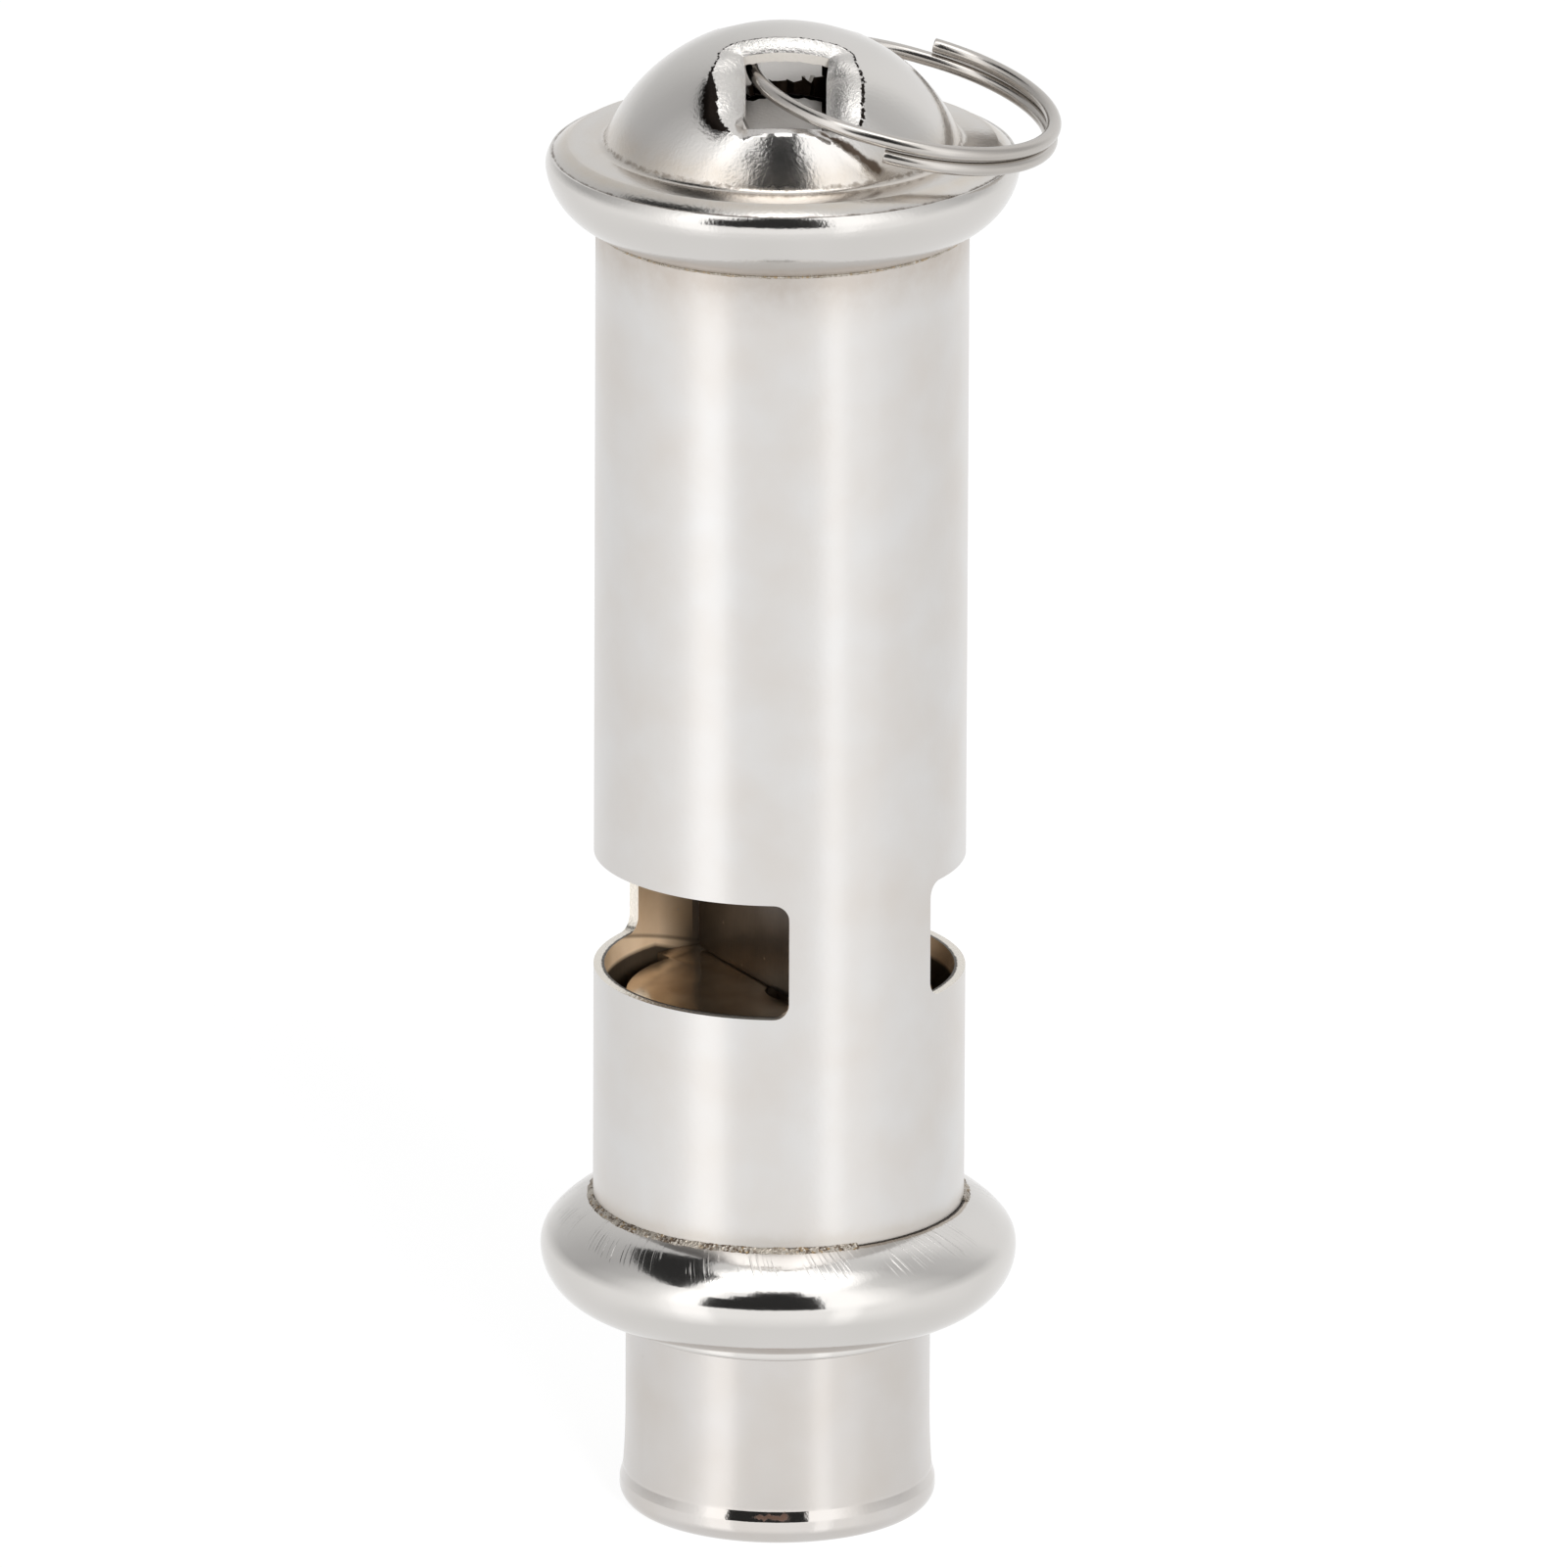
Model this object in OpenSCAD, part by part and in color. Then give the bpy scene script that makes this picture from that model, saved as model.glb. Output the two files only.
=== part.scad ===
// Tube whistle with two windows, a turned mouthpiece, a spun collar and a domed cap.
// Z runs up the tube, the mouthpiece rim stands on Z = 0, and the windows face -Y and +Y.
// Heights named _z are measured from the mouthpiece rim.

/* [Barrel] */
// Outside radius of the barrel
barrel_r = 9.5; // [9:0.1:10.5]
// Sheet thickness of the barrel
barrel_wall = 0.55; // [0.4:0.05:0.8]
// Length of the barrel, from its seat in the collar to the cap
barrel_len = 60.08; // [50:0.5:75]

/* [Windows] */
// Height of the lower edge of the windows above the barrel's seat
window_rise = 17.28; // [15:0.1:22]
// Height of each window
window_h = 6.1; // [4:0.1:8]
// Angle that each window takes up round the barrel
window_angle = 129; // [90:1:135]
// Corner radius of the windows
window_corner_r = 0.8; // [0.3:0.1:1.5]

/* [Mouthpiece] */
// Outside radius of the mouthpiece tube
mouth_r = 7.8; // [7.4:0.1:8.1]
// Wall of the mouthpiece tube
mouth_wall = 0.8; // [0.5:0.05:1]
// Length of the mouthpiece tube
mouth_len = 16.2; // [14.5:0.1:17.5]
// Radius of the widest place of the lip
lip_r = 8.1; // [8:0.05:8.5]
// Rounding of the lip's outer edge
lip_round = 0.9; // [0.5:0.05:1]
// Height over which the lip flares out of the tube
lip_flare_h = 5; // [3:0.5:8]

/* [Collar] */
// Height of the collar's foot above the mouthpiece rim
collar_foot_z = 10.03; // [8:0.1:12]
// Radius of the ring at the collar's foot
foot_ring_r = 8.2; // [8.1:0.05:8.8]
// Height of the ring at the collar's foot
foot_ring_h = 0.94; // [0.5:0.05:1.5]
// Reach of the collar beyond the barrel
collar_bulge = 2.68; // [2.3:0.05:4]
// Rounding of the collar below its widest place
collar_low_round = 2.85; // [2.4:0.05:3.2]
// Rounding of the collar above its widest place
collar_top_round = 2.2; // [1.6:0.05:2.3]
// Height of the collar above its widest place
collar_top_h = 2.66; // [2.4:0.05:3.2]
// Rounding of the lower edge of the foot's ring
foot_edge_r = 0.2; // [0.1:0.05:0.3]
// Sheet thickness of the collar
collar_wall = 0.55; // [0.4:0.05:0.7]

/* [Windway plug] */
// Depth of the plug's top below the windows
plug_drop = 1.5; // [0.8:0.1:2.5]
// Thickness of the plug
plug_h = 5; // [3:0.5:8]
// Width of the slit between the plug and the barrel
windway_gap = 1.1; // [0.6:0.05:1.6]
// Angle of each slit round the plug
windway_angle = 147; // [138:1:156]

/* [Chambers] */
// Thickness of the plate that divides the barrel
divider_t = 0.5; // [0.4:0.05:1]
// Rounding of the divider's lower corners
divider_corner_r = 0.6; // [0.2:0.1:1.5]
// Width of the divider's tab
tab_w = 2.8; // [1.5:0.1:5]
// Depth of the divider's tab in the plug
tab_h = 1; // [0.5:0.1:2.5]
// Height of the stop that shortens the rear chamber, above the windows
stop_rise = 23; // [12:0.5:30]
// Thickness of the stop
stop_t = 0.5; // [0.4:0.05:1]
// Thickness of the disc that closes the barrel
top_disc_t = 0.5; // [0.4:0.05:0.8]

/* [Cap] */
// Sheet thickness of the cap
cap_sheet = 0.5; // [0.4:0.05:0.6]
// Reach of the cap's brim beyond the barrel
brim_reach = 2.55; // [2.4:0.05:3.5]
// Small rounding at the brim's widest place
brim_round = 0.8; // [0.7:0.05:1]
// Height of the cap's seam above the brim's widest place
brim_rise = 0.65; // [0.5:0.05:0.7]
// Reach of the bowl's turned-in edge over the barrel's end
bowl_lap = 0.9; // [0.6:0.1:2]
// Large rounding of the bowl below the brim
bowl_round = 3.52; // [3:0.05:4]
// Slope at which the bowl's rounding starts
bowl_start_angle = 9.5; // [6:0.5:14]
// Depth of the bowl below the barrel's top end
bowl_depth = 3.28; // [2.8:0.05:3.6]
// Step from the brim's edge in to the dome's flange
flange_inset = 0.35; // [0.2:0.05:0.6]
// Outside radius of the dome
dome_r = 9.9; // [9.6:0.05:10.3]
// Height of the dome above the flange
dome_h = 6.15; // [5.8:0.05:6.6]
// Rounding in the corner between the dome and its flange
dome_fillet = 0.8; // [0.4:0.1:1.2]
// Turn of the cap about the tube, from the windows' direction
cap_turn = 61.5; // [0:0.5:90]

/* [Ring tunnel] */
// Width of the tunnel through the dome
tunnel_w = 4.1; // [3.6:0.1:4.6]
// Height of the tunnel's floor above the flange
tunnel_floor_h = 2.9; // [2.6:0.1:3.2]
// Length of the strap left over the tunnel
strap_len = 4.7; // [4:0.1:5.2]
// Length of the tongues folded in as the tunnel's floor
tongue_len = 5.6; // [4.5:0.1:5.6]
// Depth of the rear tongue's root below the tunnel's floor
rear_tongue_drop = 0.15; // [0.1:0.05:0.2]
// Angle at which the rear tongue rises to its free end
rear_tongue_tilt = 4.5; // [0:0.5:5]
// Width by which the rear opening is torn wider on the ring's side
tear_w = 1.9; // [1.8:0.1:2.4]
// Height of the torn stretch
tear_h = 1.9; // [1.8:0.1:2.2]
// Depth of the torn stretch below the tunnel's floor
tear_drop = 0.4; // [0.3:0.05:0.6]

/* [Split ring] */
// Wire diameter of the split ring
ring_wire = 0.75; // [0.6:0.05:0.9]
// Radius of the ring to the middle of its wire
ring_r = 7.8; // [7.7:0.05:9]
// Clear space between the ring's two turns
ring_turn_gap = 0.42; // [0.41:0.01:0.6]
// Angle at which the ring slopes down from the tunnel
ring_lean = 12.8; // [10:0.1:13]
// Angle at which the ring leans to the front
ring_front_lean = 3.8; // [0:0.1:4]
// Turn of the ring in its own plane
ring_spin = 8.2; // [0:0.1:20]
// Height of the ring's wire above the tunnel's floor
ring_lift = 1.35; // [1.3:0.05:1.5]
// Gap between the ring's wire and the side of the tunnel
ring_side_gap = 0.15; // [0.1:0.05:0.4]
// Distance of the ring's middle in front of the tube's axis
ring_forward = 0.6; // [0:0.1:0.8]

/* [Fits] */
// Radial clearance of pieces pressed or soldered into each other
fit_gap = 0.05; // [0.02:0.01:0.1]
// Gap between a solder seam and the metal it lies on
solder_gap = 0.02; // [0.01:0.01:0.05]
// Reach of the solder seam under the collar's joint
collar_seam = 0.5; // [0.3:0.05:0.8]
// Reach of the solder seam under the cap
cap_seam = 0.25; // [0.15:0.05:0.4]
// Angle left open in the collar's solder seam
seam_open_angle = 58; // [0:1:120]
// Angle from the cap's front to the open stretch
seam_open_start = 25; // [0:1:90]

/* [Hidden] */
$fn = 96;
nickel = [0.82, 0.81, 0.79];
bright_nickel = [0.88, 0.87, 0.85];
dull_brass = [0.62, 0.56, 0.45];
solder_grey = [0.55, 0.5, 0.44];
steel = [0.66, 0.65, 0.64];
eps = 0.01;
over = 2;
// Share of the sheet's thickness that the brim's small rounding loses on its inner face
brim_thinning = 0.6;
// Angle by which the ring's crossing half turn reaches into its two flat half turns
cross_reach = 2;

barrel_in_r = barrel_r - barrel_wall;
inner_r = barrel_in_r - fit_gap;
collar_r = barrel_r + collar_bulge;
brim_r = barrel_r + brim_reach;
flange_r = brim_r - flange_inset;
collar_mid_z = collar_foot_z + foot_ring_h + collar_low_round;
collar_floor_z = collar_foot_z + foot_ring_h + collar_wall;
collar_top_z = collar_mid_z + collar_top_h;
barrel_seat_z = collar_floor_z;
barrel_top_z = barrel_seat_z + barrel_len;
window_z = barrel_seat_z + window_rise;
plug_top_z = window_z - plug_drop;
plug_r = inner_r;
plug_waist_r = barrel_in_r - windway_gap;
disc_z = barrel_top_z - top_disc_t;
stop_z = window_z + window_h + stop_rise;
seam_z = barrel_top_z + cap_sheet;
flange_z = seam_z + cap_sheet;
dome_mid_z = flange_z + dome_h - dome_r;
tunnel_floor_z = flange_z + tunnel_floor_h;
ring_pitch = ring_wire + ring_turn_gap;
ring_seat_x = -tunnel_w / 2 + ring_wire / 2 + ring_side_gap;
ring_mid_x = ring_seat_x + ring_r * cos(ring_lean);
ring_mid_z = tunnel_floor_z + ring_lift - ring_r * sin(ring_lean);
seam_open_from = cap_turn - 90 + seam_open_start;

// Points on an arc about c, of radius r, from angle a0 to a1
function arc(c, r, a0, a1, n = 10) =
    [for (i = [0:n]) let (a = a0 + (a1 - a0) * i / n) [c[0] + r * cos(a), c[1] + r * sin(a)]];

// Angle of the point where a line from p touches the circle about c, on the side given by s
function touch_angle(p, c, r, s) =
    let (d = p - c) atan2(d[1], d[0]) + s * acos(r / norm(d));

// Turned body with its outline in the half plane right of the axis
module turned(points) {
    rotate_extrude() polygon(points);
}

module round_bar(r, z0, z1) {
    translate([0, 0, z0]) cylinder(r = r, h = z1 - z0);
}

// Tube between two heights
module tube(r_out, r_in, z0, z1) {
    difference() {
        round_bar(r_out, z0, z1);
        round_bar(r_in, z0 - over, z1 + over);
    }
}

// Sector ring about the Z axis, centred on the -Y direction
module sector(r0, r1, z0, z1, angle) {
    rotate([0, 0, -90 - angle / 2])
        rotate_extrude(angle = angle) translate([r0, z0]) square([r1 - r0, z1 - z0]);
}

// End of a rounded rectangle, square on the side x < 0, with its round side reaching x = r
module rounded_end(h, r) {
    translate([-r, -h / 2]) square([r, h]);
    translate([-eps, -h / 2 + r]) square([r + eps, h - 2 * r]);
    for (y = [-h / 2 + r, h / 2 - r]) translate([0, y]) circle(r);
}

// One window cut, on the -Y side, with round corners cut along the radius
module window_cut() {
    corner_angle = asin(window_corner_r / barrel_r);
    full_angle = window_angle - 2 * corner_angle;
    sector(barrel_in_r - over, barrel_r + over, window_z, window_z + window_h, full_angle);
    for (side = [-1, 1])
        rotate([0, 0, side * full_angle / 2]) mirror([side < 0 ? 1 : 0, 0, 0])
            translate([0, -barrel_in_r + over / 2, window_z + window_h / 2]) rotate([90, 0, 0])
                linear_extrude(barrel_wall + over) rounded_end(window_h, window_corner_r);
}

module barrel() {
    color(nickel) difference() {
        tube(barrel_r, barrel_in_r, barrel_seat_z, barrel_top_z);
        window_cut();
        rotate([0, 0, 180]) window_cut();
    }
}

// The lip flares out of the tube and turns under in a quarter round
module mouthpiece_tube() {
    bore_r = mouth_r - mouth_wall;
    lip_mid_r = lip_r - lip_round;
    flare = [for (i = [0:8]) let (t = i / 8)
        [mouth_r + (lip_r - mouth_r) * pow(1 - t, 2), lip_round + (lip_flare_h - lip_round) * t]];
    color(nickel) turned(concat(
        [[bore_r, mouth_len], [bore_r, 0]],
        arc([lip_mid_r, lip_round], lip_round, -90, 0),
        [for (i = [1:8]) flare[i]],
        [[mouth_r, mouth_len]]));
}

// Outline of the collar's outer face, drawn inwards by t, from the joint with the barrel down
function collar_face(t) =
    let (top_c = [collar_r - collar_top_round, collar_mid_z],
         low_c = [collar_r - collar_low_round, collar_mid_z],
         joint = [barrel_r + fit_gap, collar_top_z - t],
         a = touch_angle(joint, top_c, collar_top_round - t, -1))
    concat([joint], arc(top_c, collar_top_round - t, a, 0), arc(low_c, collar_low_round - t, 0, -90));

// Slope of the collar's outer face at the joint
function collar_slope() =
    let (face = collar_face(0), d = face[1] - face[0])
    d[1] / d[0];

module collar() {
    bore_r = mouth_r + fit_gap;
    foot_z = collar_foot_z + foot_ring_h;
    outer = collar_face(0);
    inner = collar_face(collar_wall);
    color(bright_nickel) turned(concat(
        outer,
        [[foot_ring_r, foot_z]],
        arc([foot_ring_r - foot_edge_r, collar_foot_z + foot_edge_r], foot_edge_r, 0, -90, 4),
        [[bore_r, collar_foot_z], [bore_r, collar_floor_z]],
        [for (i = [len(inner) - 1:-1:0]) inner[i]]));
}

// Bead of solder in the corner between the collar's top and the barrel
module collar_solder() {
    r = barrel_r + solder_gap;
    joint_r = barrel_r + fit_gap;
    low = collar_top_z + solder_gap;
    toe = low + collar_slope() * (r + collar_seam - joint_r);
    top = low + collar_seam / 2;
    color(solder_grey) rotate([0, 0, seam_open_from + seam_open_angle])
        rotate_extrude(angle = 360 - seam_open_angle)
            polygon([[r, low], [joint_r, low], [r + collar_seam, toe],
                     [r + collar_seam / 2, (top + low) / 2], [r, top]]);
}

// The plug fills the barrel at the two lands and leaves a slit under each window
module windway_plug() {
    z0 = plug_top_z - plug_h;
    color(dull_brass) difference() {
        round_bar(plug_r, z0, plug_top_z);
        for (turn = [0, 180]) rotate([0, 0, turn])
            sector(plug_waist_r, barrel_r + over, z0 - over, plug_top_z + over, windway_angle);
        translate([-tab_w / 2 - fit_gap, -divider_t / 2 - fit_gap, plug_top_z - tab_h - fit_gap])
            cube([tab_w + 2 * fit_gap, divider_t + 2 * fit_gap, tab_h + fit_gap + over]);
    }
}

// Flat plate between the lands, with rounded lower corners and a tab in the plug
module divider_plate() {
    z0 = plug_top_z + fit_gap;
    half = inner_r - fit_gap;
    top = disc_z - fit_gap;
    color(dull_brass) translate([0, divider_t / 2, 0]) rotate([90, 0, 0]) linear_extrude(divider_t) {
        polygon(concat(
            arc([half - divider_corner_r, z0 + divider_corner_r], divider_corner_r, -90, 0, 6),
            [[half, top], [-half, top]],
            arc([-half + divider_corner_r, z0 + divider_corner_r], divider_corner_r, 180, 270, 6)));
        translate([-tab_w / 2, plug_top_z - tab_h]) square([tab_w, tab_h + over]);
    }
}

// Half disc that makes the chamber behind the divider shorter
module chamber_stop() {
    face_y = divider_t / 2 + fit_gap;
    color(dull_brass) intersection() {
        round_bar(inner_r, stop_z, stop_z + stop_t);
        translate([-barrel_r, face_y, stop_z - over]) cube([2 * barrel_r, barrel_r, stop_t + 2 * over]);
    }
}

module top_disc() {
    color(dull_brass) round_bar(inner_r, disc_z, barrel_top_z);
}

// Outline of the bowl's outer face, drawn inwards by t, from the seam down to the neck
function bowl_face(t) =
    let (small_c = [brim_r - brim_round, seam_z - brim_rise],
         small_r = brim_round - t * brim_thinning,
         big_c = small_c - (bowl_round - brim_round) * [cos(-bowl_start_angle), sin(-bowl_start_angle)],
         neck = [barrel_r + fit_gap, barrel_top_z - bowl_depth + t],
         a_top = asin((brim_rise - t) / small_r),
         a_low = touch_angle(neck, big_c, bowl_round - t, 1))
    concat(arc(small_c, small_r, a_top, -bowl_start_angle, 6),
           arc(big_c, bowl_round - t, -bowl_start_angle, a_low, 12), [neck]);

// Pressed ring that flares from the barrel's neck to the brim and turns in over the barrel's end
module cap_bowl() {
    outer = bowl_face(0);
    inner = bowl_face(cap_sheet);
    color(bright_nickel) turned(concat(
        [[barrel_in_r - bowl_lap, barrel_top_z], [barrel_in_r - bowl_lap, seam_z]],
        outer,
        [for (i = [len(inner) - 1:-1:0]) inner[i]]));
}

module cap_solder() {
    r = barrel_r + solder_gap;
    top = barrel_top_z - bowl_depth - solder_gap;
    color(solder_grey) turned([[r, top], [r + cap_seam / 2, top], [r + cap_seam / 2, top - cap_seam / 2],
                               [r, top - cap_seam]]);
}

// Dome, fillet and flange as one turned sheet
module dome_sheet() {
    fillet_z = flange_z + dome_fillet;
    fillet_r = sqrt(pow(dome_r + dome_fillet, 2) - pow(fillet_z - dome_mid_z, 2));
    a_dome = atan2(fillet_z - dome_mid_z, fillet_r);
    edge = cap_sheet / 2;
    in_r = dome_r - cap_sheet;
    a_in = asin((seam_z - dome_mid_z) / in_r);
    turned(concat(
        arc([0, dome_mid_z], dome_r, 90, a_dome, 24),
        arc([fillet_r, fillet_z], dome_fillet, 180 + a_dome, 270, 6),
        arc([flange_r - edge, seam_z + edge], edge, 90, -90, 8),
        arc([0, dome_mid_z], in_r, a_in, 90, 24)));
}

// Opening on the front, from the strap to the floor and out
module mouth_of_tunnel() {
    translate([-tunnel_w / 2, -dome_r - over, tunnel_floor_z])
        cube([tunnel_w, dome_r + over - strap_len / 2, dome_r]);
}

// Torn stretch beside the rear opening, where the ring's wire leaves the dome
module tear() {
    translate([tunnel_w / 2 - eps, strap_len / 2 + cap_sheet, tunnel_floor_z - tear_drop])
        cube([tear_w + eps, dome_r, tear_h]);
}

// Tongue folded in level with the floor, from the dome's sheet towards the middle
module tongue(tilt) {
    lip_y = sqrt(pow(dome_r - cap_sheet / 2, 2) - pow(tunnel_floor_z - dome_mid_z, 2));
    translate([-tunnel_w / 2 + fit_gap, -lip_y, tunnel_floor_z - cap_sheet]) rotate([tilt, 0, 0])
        cube([tunnel_w - 2 * fit_gap, tongue_len, cap_sheet]);
}

// Rims turned in along both sides of the opening
module tunnel_rims() {
    lip_y = sqrt(pow(dome_r - cap_sheet, 2) - pow(tunnel_floor_z - dome_mid_z, 2));
    intersection() {
        translate([0, 0, dome_mid_z]) sphere(dome_r - cap_sheet / 2);
        for (side = [-1, 1])
            translate([side * (tunnel_w + cap_sheet) / 2 - cap_sheet / 2, -lip_y, tunnel_floor_z - eps])
                cube([cap_sheet, lip_y - strap_len / 2, dome_r]);
    }
}

module cap_dome() {
    color(bright_nickel) rotate([0, 0, cap_turn]) {
        difference() {
            union() {
                dome_sheet();
                tunnel_rims();
                rotate([0, 0, 180]) tunnel_rims();
            }
            mouth_of_tunnel();
            rotate([0, 0, 180]) mouth_of_tunnel();
            tear();
        }
        tongue(0);
        rotate([0, 0, 180]) translate([0, 0, -rear_tongue_drop]) tongue(rear_tongue_tilt);
    }
}

// One and a half turns of wire: two flat half turns, one above the other, and a half turn that crosses
// from the lower one to the upper one through the tunnel. The crossing one is thinner by a hair, so that
// its ends lie inside the other two.
module ring_half(r, wire, reach) {
    rotate([0, 0, -90 - reach])
        rotate_extrude(angle = 180 + 2 * reach) translate([r, 0]) circle(d = wire, $fn = 24);
}

function ring_point(turn, a) =
    let (h = ring_pitch / 2)
    turn == 0 ? [ring_r * cos(a), ring_r * sin(a), -h] :
    turn == 1 ? [-ring_r * cos(a), ring_r * sin(a), -h * sin(a)] :
                [ring_r * cos(a), ring_r * sin(a), h];

// Least clear space between the lower and the upper turn, measured on points of the wire's middle line
function ring_least_gap() =
    min([for (a = [-90:5:90]) for (b = [-90:5:90])
        norm(ring_point(2, a) - ring_point(0, b))]) - ring_wire;

module split_ring() {
    cross_r = norm([ring_r, ring_pitch / 2]);
    cross_tilt = atan2(ring_pitch / 2, ring_r);
    cross_wire = ring_wire - 2 * eps;
    echo(least_gap_between_turns = ring_least_gap());
    color(steel) rotate([0, 0, cap_turn]) translate([ring_mid_x, -ring_forward, ring_mid_z])
        rotate([ring_front_lean, ring_lean, 0]) rotate([0, 0, -ring_spin]) {
            translate([0, 0, -ring_pitch / 2]) ring_half(ring_r, ring_wire, 0);
            translate([0, 0, ring_pitch / 2]) ring_half(ring_r, ring_wire, 0);
            rotate([-cross_tilt, 0, 0]) mirror([1, 0, 0]) ring_half(cross_r, cross_wire, cross_reach);
        }
}

barrel();
mouthpiece_tube();
collar();
collar_solder();
windway_plug();
divider_plate();
chamber_stop();
top_disc();
cap_bowl();
cap_solder();
cap_dome();
split_ring();
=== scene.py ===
"""Looks of the tube whistle: nickel-plated barrel, mouthpiece, collar, cap and split ring.

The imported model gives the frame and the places. Every mesh here is drawn in millimetres
and turned to metres when it is finished.
"""

import logging
import math
from dataclasses import dataclass
from enum import Enum
from typing import Sequence

import bmesh
import bpy
from bmesh.types import BMEdge, BMesh, BMFace, BMVert
from bpy.types import ID, Material, Mesh, Node, NodeSocket, NodeTree, Object, World
from mathutils import Matrix, Vector, noise


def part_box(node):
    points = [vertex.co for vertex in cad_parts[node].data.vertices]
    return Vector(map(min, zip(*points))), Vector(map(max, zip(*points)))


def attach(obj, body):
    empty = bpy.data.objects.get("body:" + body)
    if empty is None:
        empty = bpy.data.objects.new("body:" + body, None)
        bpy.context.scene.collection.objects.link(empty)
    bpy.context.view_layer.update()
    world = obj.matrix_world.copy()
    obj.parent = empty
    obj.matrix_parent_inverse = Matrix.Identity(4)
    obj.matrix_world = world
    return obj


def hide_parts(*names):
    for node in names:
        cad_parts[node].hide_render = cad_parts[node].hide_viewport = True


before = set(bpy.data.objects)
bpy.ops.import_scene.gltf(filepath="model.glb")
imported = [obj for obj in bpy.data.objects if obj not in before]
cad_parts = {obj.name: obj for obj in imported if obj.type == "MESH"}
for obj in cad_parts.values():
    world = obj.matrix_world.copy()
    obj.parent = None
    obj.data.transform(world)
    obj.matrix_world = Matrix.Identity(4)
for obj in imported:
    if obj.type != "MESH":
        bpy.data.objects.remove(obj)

log = logging.getLogger("whistle")
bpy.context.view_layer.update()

MM = 0.001
# Turn of the cap, the ring and the camera about the tube, in degrees
CAP_TURN = 61.5
STEPS = 192

Point = tuple[float, float]
Given = Node | NodeSocket | float | tuple

# Inputs that have no name of their own go by number. A range turns input 0 from the range of 1 and 2
# to that of 3 and 4, which is 0 to 1 when left out. A mix takes the share as 0, values as 2 and 3, and
# colours as 6 and 7.
MATH = "ShaderNodeMath"
VECTOR = "ShaderNodeVectorMath"
RANGE = "ShaderNodeMapRange"
MIX = "ShaderNodeMix"
NOISE = "ShaderNodeTexNoise"
CELLS = "ShaderNodeTexVoronoi"
BUMP = "ShaderNodeBump"
SPLIT = "ShaderNodeSeparateColor"


class Body(str, Enum):
    """The two bodies of the whistle."""

    WHISTLE = "whistle"
    RING = "ring"


class Slot(str, Enum):
    """The record's material slots."""

    SATIN = "satin_nickel"
    BRIGHT = "bright_nickel"
    BRASS = "dull_brass"
    SOLDER = "solder"
    STEEL = "ring_steel"


# Shapes


class Outline:
    """An outline of a turned piece, as points (radius, height) in millimetres."""

    def __init__(self, *points: Point) -> None:
        """Starts the outline at the given points."""
        self.points: list[Point] = list(points)

    def line(self, *points: Point) -> "Outline":
        """Adds straight stretches to the given points."""
        self.points.extend(points)
        return self

    def arc(self, centre: Point, radius: float, start: float, end: float, steps: int) -> "Outline":
        """Adds an arc.

        Args:
            centre: Middle of the arc.
            radius: Radius of the arc.
            start: Angle at which it starts, in degrees from the outward direction.
            end: Angle at which it ends.
            steps: Number of straight steps in it.

        Returns:
            The outline itself.
        """
        for i in range(steps + 1):
            a = math.radians(start + (end - start) * i / steps)
            self.points.append((centre[0] + radius * math.cos(a), centre[1] + radius * math.sin(a)))
        return self


def touch_angle(point: Point, centre: Point, radius: float) -> float:
    """Angle at which a line from a point touches a circle, on its anticlockwise side.

    Args:
        point: Start of the line.
        centre: Middle of the circle.
        radius: Radius of the circle.

    Returns:
        The angle in degrees.
    """
    d = (point[0] - centre[0], point[1] - centre[1])
    return math.degrees(math.atan2(d[1], d[0]) + math.acos(radius / math.hypot(*d)))


def outward(place: Vector) -> Vector:
    """Direction away from the tube's axis at a place."""
    return Vector((place.x, place.y, 0)).normalized()


def smoothstep(low: float, high: float, value: float) -> float:
    """Smooth rise from 0 at low to 1 at high."""
    t = min(1.0, max(0.0, (value - low) / (high - low)))
    return t * t * (3.0 - 2.0 * t)


def put_in_order(bm: BMesh) -> None:
    """Sorts corners, edges and faces by place, since operators leave them in an order that varies by run."""
    for parts, key in ((bm.verts, lambda v: v.co[:]),
                       (bm.edges, lambda e: sorted(v.index for v in e.verts)),
                       (bm.faces, lambda f: sorted(v.index for v in f.verts))):
        for i, part in enumerate(sorted(parts, key=key)):
            part.index = i
        parts.sort()


def spun(outline: Outline, closed: bool = True, angle: float = 360.0, steps: int = STEPS) -> BMesh:
    """Spins an outline about the tube's axis.

    Args:
        outline: The outline, drawn once round the section when it is closed.
        closed: Whether the last point joins the first.
        angle: Angle of the spin in degrees.
        steps: Number of steps in it.

    Returns:
        The mesh, with its faces pointing outwards.
    """
    bm = bmesh.new()
    verts = [bm.verts.new((r, 0.0, z)) for r, z in outline.points]
    pairs = list(zip(verts, verts[1:]))
    if closed:
        pairs.append((verts[-1], verts[0]))
    edges = [bm.edges.new(pair) for pair in pairs]
    full = abs(angle - 360.0) < 1e-6
    bmesh.ops.spin(bm, geom=verts + edges, cent=(0, 0, 0), axis=(0, 0, 1), angle=math.radians(angle),
                   steps=steps, use_merge=full)
    bmesh.ops.remove_doubles(bm, verts=bm.verts, dist=1e-5)
    bmesh.ops.recalc_face_normals(bm, faces=bm.faces)
    put_in_order(bm)
    return bm


def rotate(bm: BMesh, verts: Sequence[BMVert], *turns: tuple[float, str]) -> None:
    """Turns corners of a mesh about the origin, by pairs of degrees and axis, the last pair first."""
    matrix = Matrix.Identity(3)
    for degrees, axis in turns:
        matrix = matrix @ Matrix.Rotation(math.radians(degrees), 3, axis)
    bmesh.ops.rotate(bm, verts=verts, cent=(0, 0, 0), matrix=matrix)


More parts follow.
